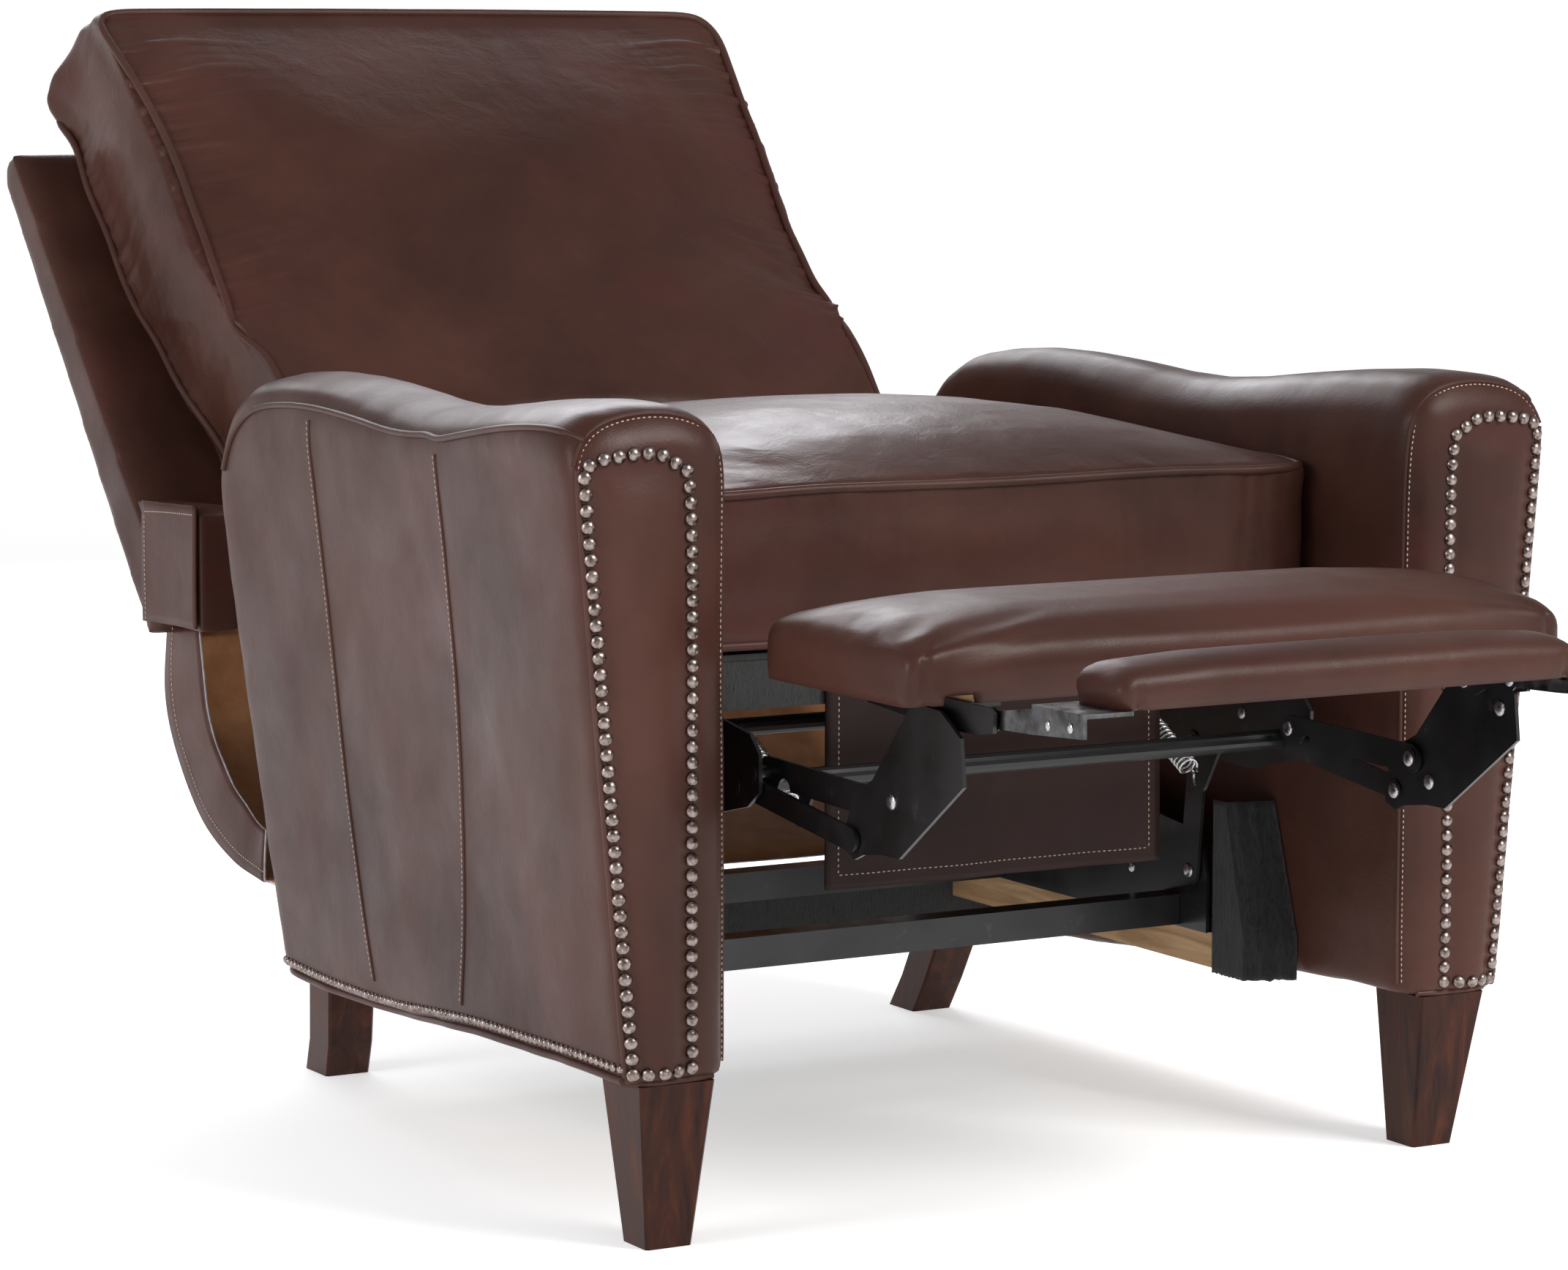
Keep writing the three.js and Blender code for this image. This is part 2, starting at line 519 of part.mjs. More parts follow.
const frontPlateOutline = [
  [-100, 296], [-88, 291], [-76, 296], [-73, 308], [-88, 340], [-113, 352], [-168, 414], [-205, 412],
  [-232, 396], [-236, 362], [-150, 300], [-128, 300],
];
const bracketOutline = [
  [-90, 416.2], [-90, 405], [-160, 400], [-174, 392], [-196, 392], [-208, 398], [-240, 399], [-259, 402],
  [-260, 416], [-252, 419.5], [-225, 419.5], [-225, 416.2],
];
const flipperBarOutline = [
  [-241, 405], [-247, 403], [-256, 404.5], [-300, 406], [-364, 410], [-364, 423.7], [-300, 423.7], [-262, 418],
  [-246, 417.5], [-240, 414],
];
for (const side of SIDES) {
  // the drive link is notched to clear the guide link's pivot, and the guide link to clear the torque tube
  const driveBar = layerPlate(side, barShape(DRIVE_PIVOT, ELBOW_PIVOT, 9), X_DRIVE_LINK);
  const driveNotch = [0, -10, -20].map((a) => (
    pin(side, turned(GUIDE_REAR_PIVOT, DRIVE_PIVOT, a), X_DRIVE_LINK - 1, X_DRIVE_LINK + STEEL + 1, PIN_R + 1)
  ));
  const drive = cut(driveBar, ...driveNotch);
  const driveHub = rivet(side, DRIVE_PIVOT, X_DRIVE_LINK + 1, X_SEAT_PLATE + STEEL + GAP, false, true);
  const elbow = rivet(side, ELBOW_PIVOT, X_FRONT_PLATE - GAP, X_DRIVE_LINK + 1, true, false);
  add(`drive_link_${sideName(side)}`, join(drive, ...driveHub, ...elbow), blackSteel());

  const frontPlate = layerPlate(side, polygon(frontPlateOutline), X_FRONT_PLATE, [ELBOW_PIVOT]);
  const padPin = rivet(side, PAD_PIVOT, X_PAD_BRACKET - GAP, X_FRONT_PLATE + 1, true, false);
  add(`front_plate_${sideName(side)}`, join(frontPlate, ...padPin), blackSteel());

  const guideBar = barShape(GUIDE_REAR_PIVOT, GUIDE_FRONT_PIVOT, 11);
  const guideHub = rivet(side, GUIDE_REAR_PIVOT, X_GUIDE_LINK + 1, X_SEAT_PLATE + STEEL + GAP, false, true);
  const guideNotch = [0, 8, 16].map((a) => {
    const tubeAt = turned(DRIVE_PIVOT, GUIDE_REAR_PIVOT, a - DRIVE_TURN);
    return pin(side, tubeAt, X_GUIDE_LINK - 1, X_GUIDE_LINK + STEEL + 1, TORQUE_R + 1);
  });
  const guide = cut(layerPlate(side, guideBar, X_GUIDE_LINK), ...guideNotch);
  const guidePin = rivet(side, GUIDE_FRONT_PIVOT, X_GUIDE_LINK, X_FRONT_PLATE - GAP, true, false);
  add(`guide_link_${sideName(side)}`, join(guide, ...guideHub, ...guidePin), blackSteel());

  const padFlange = sideBlock(side, 205, X_PAD_BRACKET + STEEL, -226, -90, 416.1, PAD_BOTTOM_Z - GAP);
  const bracketPlate = layerPlate(side, polygon(bracketOutline), X_PAD_BRACKET, [PAD_PIVOT]);
  const flipperPin = rivet(side, FLIPPER_PIVOT, X_FLIPPER_BRACKET - GAP, X_PAD_BRACKET + 1, true, false);
  add(`pad_bracket_${sideName(side)}`, join(bracketPlate, padFlange, ...flipperPin), blackSteel());

  const flipperBar = layerPlate(side, polygon(flipperBarOutline), X_FLIPPER_BRACKET, [FLIPPER_PIVOT]);
  const seatFlange = sideBlock(side, 186, X_FLIPPER_BRACKET + STEEL, -364, -300, 423.6, FLIPPER_BOTTOM_Z - GAP);
  add(`flipper_bracket_${sideName(side)}`, join(flipperBar, seatFlange), blackSteel());

  const coil = new THREE.CylinderGeometry(9, 9, 92, 16);
  const run = new THREE.Vector3(0, SPRING_BAR[0] - SPRING_LUG[0], SPRING_BAR[1] - SPRING_LUG[1]).normalize();
  coil.applyQuaternion(new THREE.Quaternion().setFromUnitVectors(new THREE.Vector3(0, 1, 0), run));
  coil.translate(side * X_SPRING, (SPRING_BAR[0] + SPRING_LUG[0]) / 2, (SPRING_BAR[1] + SPRING_LUG[1]) / 2);
  add(`spring_${sideName(side)}`, coil, brightSteel());
}

// ---- footrest pads --------------------------------------------------------------------------------------
const BOARD_T = 18;
const padBoard = block(-228, 228, PAD_FRONT_Y + 9, PAD_REAR_Y - 9, PAD_BOTTOM_Z, PAD_BOTTOM_Z + BOARD_T);
add('pad_board', padBoard, bareWood());
const flipperBoardZ = FLIPPER_BOTTOM_Z + 8;
const flipperBoard = block(-190, 190, FLIPPER_FRONT_Y + 6, FLIPPER_REAR_Y - 6, FLIPPER_BOTTOM_Z, flipperBoardZ);
add('flipper_board', flipperBoard, bareWood());

// a crowned pad with soft corners: its cross-section runs front to back and swells towards the middle
function pad(half, yFront, yRear, z0, z1) {
  const h = z1 - z0;
  const w = yRear - yFront;
  const outline = [
    [yFront + 4, z0], [yRear - 4, z0], [yRear, z0 + 0.2 * h], [yRear - 1, z0 + 0.6 * h],
    [yRear - 0.06 * w, z0 + 0.8 * h], [yRear - 0.2 * w, z0 + 0.93 * h],
    [yRear - 0.45 * w, z1], [yFront + 0.3 * w, z0 + 0.95 * h],
    [yFront + 0.1 * w, z0 + 0.78 * h], [yFront + 1, z0 + 0.5 * h], [yFront, z0 + 0.2 * h],
  ];
  const middle = [(yFront + yRear) / 2, z0 + 0.3 * h];
  const stations = mirrored([[1, 0.5, 7], [0.985, 0.72, 2], [0.92, 0.88, 0], [0.6, 1, 0]]);
  return loft(stations.map(([share, lift, inset]) => (
    outline.map((p) => {
      const [y, z] = towards([p[0], z0 + (p[1] - z0) * lift], middle, inset);
      return [share * half, y, Math.max(z0, z)];
    })
  )));
}
const padBaseZ = PAD_BOTTOM_Z + BOARD_T + GAP;
add('footrest_pad', pad(PAD_HALF, PAD_FRONT_Y, PAD_REAR_Y, padBaseZ, PAD_TOP_Z), leather());
const flipperBaseZ = flipperBoardZ + GAP;
add('flipper_pad', pad(FLIPPER_HALF, FLIPPER_FRONT_Y, FLIPPER_REAR_Y, flipperBaseZ, FLIPPER_TOP_Z), leather());

export default chair;
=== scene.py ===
import math

import bmesh
import bpy
import numpy as np
from mathutils import Matrix, Vector, noise
from mathutils.bvhtree import BVHTree


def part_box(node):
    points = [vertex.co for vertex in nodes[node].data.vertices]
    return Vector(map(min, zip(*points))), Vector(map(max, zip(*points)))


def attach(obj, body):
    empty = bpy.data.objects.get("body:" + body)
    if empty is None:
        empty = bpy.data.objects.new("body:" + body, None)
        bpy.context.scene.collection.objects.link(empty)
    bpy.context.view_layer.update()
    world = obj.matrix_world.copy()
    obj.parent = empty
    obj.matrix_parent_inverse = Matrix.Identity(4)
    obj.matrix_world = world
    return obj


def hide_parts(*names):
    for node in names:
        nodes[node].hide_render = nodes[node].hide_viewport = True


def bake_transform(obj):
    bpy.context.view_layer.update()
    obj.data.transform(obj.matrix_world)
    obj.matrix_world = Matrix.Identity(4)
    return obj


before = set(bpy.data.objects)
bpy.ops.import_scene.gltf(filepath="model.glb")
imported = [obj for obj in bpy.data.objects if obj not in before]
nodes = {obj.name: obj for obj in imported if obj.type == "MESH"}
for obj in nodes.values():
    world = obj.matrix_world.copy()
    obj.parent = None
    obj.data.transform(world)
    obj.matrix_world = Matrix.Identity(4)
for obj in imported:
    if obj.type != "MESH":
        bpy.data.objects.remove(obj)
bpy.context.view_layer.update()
scene = bpy.context.scene

# The chair is measured in millimetres from the front face of its front legs,
# and its place is found from the base's rear rail.
MM = 0.001
BACK_OF_RAIL = 690
SHIFT_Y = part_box("base_rear_rail")[1].y - BACK_OF_RAIL * MM
SIDES = ((-1, "left"), (1, "right"))
WELT_R = 3.7


def at(x, y, z):
    """A place on the chair, in millimetres from its own datum, as a point of the scene."""
    return Vector((x * MM, y * MM + SHIFT_Y, z * MM))


# ---- camera and light --------------------------------------------------------------------------------------
CAMERA_AT = (-2007.3, -3094.2, 861.4)
YAW, PITCH = math.radians(29.599), math.radians(6.674)
lens = bpy.data.cameras.new("studio_camera")
lens.sensor_width = 36
lens.lens = 112.83
lens.clip_end = 100
camera = bpy.data.objects.new("studio_camera", lens)
scene.collection.objects.link(camera)
camera.location = at(*CAMERA_AT)
ahead = Vector((math.sin(YAW) * math.cos(PITCH), math.cos(YAW) * math.cos(PITCH), -math.sin(PITCH)))
camera.rotation_euler = ahead.to_track_quat("-Z", "Y").to_euler()
scene.camera = camera


def area_light(name, where, towards, width, height, watts, colour=(1, 1, 1)):
    data = bpy.data.lights.new(name, "AREA")
    data.shape = "RECTANGLE"
    data.size, data.size_y = width, height
    data.energy = watts
    data.color = colour
    lamp = bpy.data.objects.new(name, data)
    scene.collection.objects.link(lamp)
    lamp.location = where
    lamp.rotation_euler = (Vector(towards) - Vector(where)).to_track_quat("-Z", "Y").to_euler()


area_light("key_box", (1.5, -3.3, 3.1), (0, 0, 0.4), 1.7, 1.7, 150, (1, 0.97, 0.94))
area_light("back_box", (0.7, 3.3, 2.3), (0, 0, 0.5), 2.8, 1.2, 72, (0.95, 0.96, 1))
area_light("side_box", (-3.3, -0.5, 1.5), (-0.3, 0.4, 0.3), 1.3, 1.3, 44)

scene.view_settings.view_transform = "Standard"
scene.view_settings.look = "None"
world = bpy.data.worlds.new("studio")
scene.world = world
world.use_nodes = True
sky = world.node_tree
way = sky.nodes.new("ShaderNodeTexCoord")
height = sky.nodes.new("ShaderNodeSeparateXYZ")
glow = sky.nodes.new("ShaderNodeValToRGB")
horizon, overhead = glow.color_ramp.elements
horizon.position = 0.06
horizon.color = (1, 1, 1, 1)
overhead.position = 0.3
overhead.color = (0.3, 0.3, 0.31, 1)
sky.links.new(way.outputs["Generated"], height.inputs["Vector"])
sky.links.new(height.outputs["Z"], glow.inputs["Fac"])
sky.links.new(glow.outputs["Color"], sky.nodes["Background"].inputs["Color"])
sky.nodes["Background"].inputs["Strength"].default_value = 1.0


# ---- materials ---------------------------------------------------------------------------------------------
class Finish:
    """A material being wired up: the shader, and the object-space point its patterns are read at."""

    def __init__(self, name, stretch=(1, 1, 1), turn=(0, 0, 0)):
        self.material = bpy.data.materials.new(name)
        self.material.use_nodes = True
        self.tree = self.material.node_tree
        self.shader = self.tree.nodes["Principled BSDF"]
        coordinates = self.tree.nodes.new("ShaderNodeTexCoord")
        mapping = self.tree.nodes.new("ShaderNodeMapping")
        mapping.inputs["Scale"].default_value = stretch
        mapping.inputs["Rotation"].default_value = turn
        self.link(coordinates.outputs["Object"], mapping.inputs["Vector"])
        self.point = mapping.outputs["Vector"]

    def link(self, a, b):
        self.tree.links.new(a, b)

    def noise(self, scale, detail=3, rough=0.55, distortion=0.0):
        n = self.tree.nodes.new("ShaderNodeTexNoise")
        n.inputs["Scale"].default_value = scale
        n.inputs["Detail"].default_value = detail
        n.inputs["Roughness"].default_value = rough
        n.inputs["Distortion"].default_value = distortion
        self.link(self.point, n.inputs["Vector"])
        return n.outputs["Fac"]

    def cells(self, scale):
        n = self.tree.nodes.new("ShaderNodeTexVoronoi")
        n.inputs["Scale"].default_value = scale
        self.link(self.point, n.inputs["Vector"])
        return n.outputs["Distance"]

    def ramp(self, value, *stops):
        n = self.tree.nodes.new("ShaderNodeValToRGB")
        while len(n.color_ramp.elements) < len(stops):
            n.color_ramp.elements.new(0.5)
        for element, (where, colour) in zip(n.color_ramp.elements, stops):
            element.position = where
            element.color = (*colour, 1)
        self.link(value, n.inputs["Fac"])
        return n.outputs["Color"]

    def span(self, value, low, high, from_low=0.3, from_high=0.7):
        n = self.tree.nodes.new("ShaderNodeMapRange")
        n.inputs["From Min"].default_value = from_low
        n.inputs["From Max"].default_value = from_high
        n.inputs["To Min"].default_value = low
        n.inputs["To Max"].default_value = high
        self.link(value, n.inputs["Value"])
        return n.outputs["Result"]

    def mix(self, amount, a, b, blend="MIX"):
        n = self.tree.nodes.new("ShaderNodeMix")
        n.data_type = "RGBA"
        n.blend_type = blend
        for socket, value in ((n.inputs["Factor"], amount), (n.inputs["A"], a), (n.inputs["B"], b)):
            if isinstance(value, (int, float)):
                socket.default_value = value
            elif isinstance(value, tuple):
                socket.default_value = (*value, 1)
            else:
                self.link(value, socket)
        return n.outputs["Result"]

    def bump(self, height, strength, distance, below=None):
        n = self.tree.nodes.new("ShaderNodeBump")
        n.inputs["Strength"].default_value = strength
        n.inputs["Distance"].default_value = distance
        self.link(height, n.inputs["Height"])
        if below is not None:
            self.link(below, n.inputs["Normal"])
        return n.outputs["Normal"]

    def finish(self, colour, roughness, normal=None, **fixed):
        for name, value in (("Base Color", colour), ("Roughness", roughness)):
            if isinstance(value, (int, float)):
                self.shader.inputs[name].default_value = value
            elif isinstance(value, tuple):
                self.shader.inputs[name].default_value = (*value, 1)
            else:
                self.link(value, self.shader.inputs[name])
        if normal is not None:
            self.link(normal, self.shader.inputs["Normal"])
        for name, value in fixed.items():
            self.shader.inputs[name.replace("_", " ")].default_value = value
        return self.material


def hide(name, dark, mid, light, red, gloss=(0.34, 0.5), creases=0.35):
    """Finished leather: broad brown mottling, redder patches, fine grain, pores and soft creases."""
    f = Finish(name)
    broad = f.ramp(f.noise(3.1, 5, 0.6, 0.4), (0.3, dark), (0.52, mid), (0.74, light))
    patches = f.span(f.noise(5.7, 4, 0.6, 0.8), 0, 0.55, 0.48, 0.72)
    colour = f.mix(patches, broad, red)
    fine = f.span(f.noise(140, 3, 0.6), 0.82, 1.12)
    colour = f.mix(0.7, colour, f.ramp(fine, (0, (0.75, 0.75, 0.75)), (1, (1, 1, 1))), "MULTIPLY")
    grain = f.bump(f.cells(780), 0.16, 0.0004)
    pores = f.bump(f.noise(420, 3, 0.6), 0.12, 0.0006, grain)
    folds = f.bump(f.noise(34, 4, 0.62, 0.6), creases * 0.28, 0.004, pores)
    swell = f.bump(f.noise(9, 2, 0.5, 0.3), creases * 0.4, 0.012, folds)
    rough = f.span(f.noise(11, 4, 0.6, 0.3), *gloss)
    return f.finish(
        colour, rough, swell, Specular_IOR_Level=0.17, Coat_Weight=0.02, Coat_Roughness=0.3, IOR=1.5
    )


DARK = (0.03, 0.011, 0.0078)
MID = (0.056, 0.022, 0.0155)
LIGHT = (0.086, 0.036, 0.0255)
RED = (0.07, 0.0185, 0.0165)
leather = hide("leather_oxblood", DARK, MID, LIGHT, RED)
# Painted shade: the front flap's leather is the oxblood hide at about 0.4 times its tones, darkened to stand
# in for the shadow under the foot pads.
leather_painted_shade = hide(
    "leather_flap_painted_shade", (0.012, 0.0055, 0.0045), (0.021, 0.01, 0.008), (0.032, 0.016, 0.013),
    (0.026, 0.0095, 0.009), gloss=(0.5, 0.65), creases=0.3,
)
leather_creased = hide("leather_cushion", DARK, MID, LIGHT, RED, gloss=(0.3, 0.46), creases=0.8)
leather_welt = hide(
    "leather_welt", (0.036, 0.0145, 0.0105), (0.06, 0.026, 0.0195), (0.1, 0.046, 0.035),
    RED, gloss=(0.36, 0.5), creases=0.1,
)


def suede_finish():
    f = Finish("suede_flesh_side")
    colour = f.ramp(
        f.noise(26, 6, 0.65),
        (0.25, (0.3, 0.13, 0.052)), (0.5, (0.43, 0.2, 0.088)), (0.78, (0.54, 0.29, 0.145)),
    )
    nap = f.bump(f.noise(520, 4, 0.7), 0.5, 0.0009)
    return f.finish(colour, 0.93, nap, Sheen_Weight=0.35, Sheen_Roughness=0.5, Specular_IOR_Level=0.2)


def cut_edge_finish():
    f = Finish("leather_cut_edge")
    colour = f.ramp(f.noise(160, 4, 0.6), (0.3, (0.36, 0.33, 0.34)), (0.7, (0.6, 0.57, 0.58)))
    return f.finish(colour, 0.85, f.bump(f.noise(600, 2), 0.4, 0.0005), Specular_IOR_Level=0.3)


def wood_finish(name, dark, mid, light, stretch, gloss, coat):
    """Wood whose grain runs along the axis that is stretched least."""
    f = Finish(name, stretch)
    wide = f.noise(1.0, 5, 0.6, 1.4)
    colour = f.ramp(wide, (0.3, dark), (0.52, mid), (0.75, light))
    pores = f.span(f.noise(4.2, 3, 0.7), 0, 0.5, 0.56, 0.75)
    colour = f.mix(pores, colour, dark)
    return f.finish(
        colour, f.span(wide, *gloss), f.bump(f.noise(4.2, 3, 0.7), 0.12, 0.0006),
        Coat_Weight=coat, Coat_Roughness=0.2, Specular_IOR_Level=0.16,
    )


STAIN = ((0.014, 0.0034, 0.0014), (0.038, 0.0085, 0.0028), (0.085, 0.021, 0.006))
PALE = ((0.3, 0.17, 0.08), (0.47, 0.3, 0.16), (0.6, 0.42, 0.25))
leg_wood = wood_finish("leg_stained_wood", *STAIN, (60, 60, 7), (0.3, 0.45), 0.06)
rail_wood_along = wood_finish("rail_wood_fore_aft", *PALE, (70, 6, 70), (0.6, 0.8), 0)
rail_wood_across = wood_finish("rail_wood_crossways", *PALE, (6, 70, 70), (0.6, 0.8), 0)


def black_paint_finish():
    f = Finish("mechanism_black_paint")
    wear = f.span(f.noise(46, 5, 0.7), 0, 1, 0.62, 0.76)
    colour = f.mix(wear, (0.0075, 0.0075, 0.0085), (0.045, 0.044, 0.043))
    rough = f.span(f.noise(20, 4, 0.6), 0.26, 0.5)
    return f.finish(
        colour, rough, f.bump(f.noise(300, 3), 0.06, 0.0006),
        Metallic=0.3, Coat_Weight=0.3, Coat_Roughness=0.2,
    )


def metal_finish(name, dark, light, gloss, scale=260):
    f = Finish(name)
    tone = f.noise(scale, 4, 0.6)
    colour = f.ramp(tone, (0.32, dark), (0.68, light))
    return f.finish(colour, f.span(tone, *gloss), f.bump(f.noise(scale * 2, 2), 0.08, 0.0003), Metallic=1.0)


black_paint = black_paint_finish()
nail_metal = metal_finish("nail_antique_pewter", (0.11, 0.08, 0.07), (0.42, 0.35, 0.325), (0.22, 0.4))
zinc = metal_finish("rivet_zinc", (0.3, 0.3, 0.31), (0.62, 0.62, 0.63), (0.2, 0.4))
worn_steel = metal_finish("bracket_worn_steel", (0.05, 0.05, 0.052), (0.2, 0.2, 0.205), (0.25, 0.45), 60)
spring_wire = metal_finish("spring_bright_wire", (0.42, 0.42, 0.43), (0.72, 0.72, 0.72), (0.16, 0.3))
suede = suede_finish()
cut_edge = cut_edge_finish()


def cloth_finish(name, dark, light, scale):
    f = Finish(name, (1, 1, 0.22))
    fibres = f.noise(scale, 6, 0.75, 2.2)
    colour = f.ramp(fibres, (0.35, dark), (0.75, light))
    return f.finish(colour, 0.95, f.bump(fibres, 0.9, 0.0025), Sheen_Weight=0.2, Specular_IOR_Level=0.25)


cambric = cloth_finish("dust_cloth_black", (0.004, 0.004, 0.0045), (0.03, 0.03, 0.032), 190)
deck_cloth = cloth_finish("seat_deck_cloth", (0.012, 0.012, 0.012), (0.045, 0.045, 0.045), 420)


def thread_finish():
    f = Finish("stitch_thread")
    colour = f.ramp(f.noise(900, 2), (0.3, (0.34, 0.22, 0.17)), (0.7, (0.55, 0.4, 0.32)))
    return f.finish(colour, 0.6, f.bump(f.noise(2400, 2), 0.3, 0.0002), Sheen_Weight=0.3)


thread = thread_finish()


# ---- mesh helpers ------------------------------------------------------------------------------------------
def linked(name, mesh, *materials):
    for m in materials:
        mesh.materials.append(m)
    obj = bpy.data.objects.new(name, mesh)
    scene.collection.objects.link(obj)
    return obj


def copied(node, name):
    """A CAD node's shape as a mesh of its own, with its loose triangles joined."""
    mesh = nodes[node].data.copy()
    mesh.materials.clear()
    bm = bmesh.new()
    bm.from_mesh(mesh)
    bmesh.ops.remove_doubles(bm, verts=bm.verts, dist=1e-5)
    bm.to_mesh(mesh)
    bm.free()
    mesh.name = name
    return linked(name, mesh)


def settled(obj):
    """Applies an object's modifiers to its mesh."""
    bpy.context.view_layer.update()
    mesh = bpy.data.meshes.new_from_object(obj.evaluated_get(bpy.context.evaluated_depsgraph_get()))
    obj.modifiers.clear()
    old = obj.data
    obj.data = mesh
    bpy.data.meshes.remove(old)
    return obj


def points_of(obj):
    co = np.empty(len(obj.data.vertices) * 3)
    obj.data.vertices.foreach_get("co", co)
    return co.reshape(-1, 3)


def normals_of(obj):
    n = np.empty(len(obj.data.vertices) * 3)
    obj.data.vertices.foreach_get("normal", n)
    return n.reshape(-1, 3)


def set_points(obj, co):
    obj.data.vertices.foreach_set("co", np.ascontiguousarray(co, float).ravel())
    obj.data.update()


def remeshed(obj, size_mm, relax=0):
    m = obj.modifiers.new("even", "REMESH")
    m.mode = "VOXEL"
    m.voxel_size = size_mm * MM
    m.adaptivity = 0
    if relax:
        s = obj.modifiers.new("relax", "SMOOTH")
        s.factor = 0.5
        s.iterations = relax
    return settled(obj)


def shaded(obj):
    for p in obj.data.polygons:
        p.use_smooth = True
    return obj


def painted(obj, *materials):
    obj.data.materials.clear()
    for m in materials:
        obj.data.materials.append(m)
    return obj


def millimetres(co):
    """Mesh points as |x|, y, z in millimetres from the chair's own datum."""
    return np.abs(co[:, 0]) / MM, (co[:, 1] - SHIFT_Y) / MM, co[:, 2] / MM


def soft_noise(co, scale, seed):
    off = Vector((seed * 3.1, seed * 1.7, seed * 2.3))
    return np.array([noise.noise(Vector(p) * scale + off) for p in co])


def surface(obj):
    bm = bmesh.new()
    bm.from_mesh(obj.data)
    tree = BVHTree.FromBMesh(bm)
    bm.free()
    return tree


def tube(name, points, radius_mm, material=leather_welt):
    """A round welt or wire along points, as a closed mesh."""
    curve = bpy.data.curves.new(name, "CURVE")
    curve.dimensions = "3D"
    curve.bevel_depth = radius_mm * MM
    curve.bevel_resolution = 3
    curve.use_fill_caps = True
    spline = curve.splines.new("POLY")
    spline.points.add(len(points) - 1)
    for p, q in zip(spline.points, points):
        p.co = (*q, 1)
    made = bpy.data.objects.new(name + "_path", curve)
    scene.collection.objects.link(made)
    bpy.context.view_layer.update()
    mesh = bpy.data.meshes.new_from_object(made.evaluated_get(bpy.context.evaluated_depsgraph_get()))
    bpy.data.objects.remove(made)
    mesh.materials.clear()
    return shaded(linked(name, mesh, material))


def smooth_path(corners, step_mm):
    """Points evenly spaced along a smooth curve through a list of corners."""
    p = [np.array(q, float) for q in corners]
    dense = []
    for i in range(len(p) - 1):
        p1, p2 = p[i], p[i + 1]
        p0 = p[i - 1] if i > 0 else 2 * p1 - p2
        p3 = p[i + 2] if i + 2 < len(p) else 2 * p2 - p1
        square = 2 * p0 - 5 * p1 + 4 * p2 - p3
        cube = 3 * p1 - p0 - 3 * p2 + p3
        for t in np.linspace(0, 1, 24, endpoint=False):
            dense.append(0.5 * (2 * p1 + (p2 - p0) * t + square * t**2 + cube * t**3))
    dense.append(p[-1])
    dense = np.array(dense)
    length = np.concatenate([[0], np.cumsum(np.linalg.norm(np.diff(dense, axis=0), axis=1))])
    count = max(2, round(length[-1] / step_mm))
    s = np.linspace(0, length[-1], count + 1)
    return np.stack([np.interp(s, length, dense[:, k]) for k in range(dense.shape[1])], 1)


def cast(tree, points, directions, back_mm, proud_mm):
    """Each point is moved on to the surface, coming in from back_mm outside it against its direction."""
    hits, normals = [], []
    for p, d in zip(points, directions):
        d = Vector(d).normalized()
        start = Vector(p) + d * back_mm * MM
        hit, normal, _, _ = tree.ray_cast(start, -d, 2.2 * back_mm * MM)
        if hit is None:
            hit, normal, _, _ = tree.find_nearest(Vector(p))
        hits.append(hit + d * proud_mm * MM)
        normals.append(normal)
    return hits, normals


def evened(points, passes=3):
    """The same line with its small kinks eased out."""
    q = np.array([list(p) for p in points])
    for _ in range(passes):
        s = (np.roll(q, 1, 0) + 2 * q + np.roll(q, -1, 0)) / 4
        s[0], s[-1] = q[0], q[-1]
        q = s
    return [Vector(p) for p in q]


def trimmed(pieces, body):
    """Small pieces of one finish that ride a body."""
    for piece in pieces:
        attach(piece, body)


# ---- geometry node trees: nail heads, stitches, coils ------------------------------------------------------
def node_group(name, **sizes):
    """A node tree with a named input for each size."""
    tree = bpy.data.node_groups.new(name, "GeometryNodeTree")
    tree.interface.new_socket("Geometry", in_out="INPUT", socket_type="NodeSocketGeometry")
    for label, default in sizes.items():
        socket = tree.interface.new_socket(label, in_out="INPUT", socket_type="NodeSocketFloat")
        socket.default_value = default
    tree.interface.new_socket("Geometry", in_out="OUTPUT", socket_type="NodeSocketGeometry")
    return tree, tree.nodes.new("NodeGroupInput"), tree.nodes.new("NodeGroupOutput")


def ended(tree, geometry, out, material):
    """Realize Instances, then Set Material, into the tree's output."""
    real = tree.nodes.new("GeometryNodeRealizeInstances")
    paint = tree.nodes.new("GeometryNodeSetMaterial")
    paint.inputs["Material"].default_value = material
    tree.links.new(geometry, real.inputs["Geometry"])
    tree.links.new(real.outputs["Geometry"], paint.inputs["Geometry"])
    tree.links.new(paint.outputs["Geometry"], out.inputs["Geometry"])
    return tree


def direction_of(tree, name):
    n = tree.nodes.new("GeometryNodeInputNamedAttribute")
    n.data_type = "FLOAT_VECTOR"
    n.inputs["Name"].default_value = name
    return n.outputs["Attribute"]


def aligned(tree, vector, axis, pivot="AUTO", rotation=None):
    n = tree.nodes.new("FunctionNodeAlignRotationToVector")
    n.axis = axis
    n.pivot_axis = pivot
    tree.links.new(vector, n.inputs["Vector"])
    if rotation is not None:
        tree.links.new(rotation, n.inputs["Rotation"])
    return n.outputs["Rotation"]


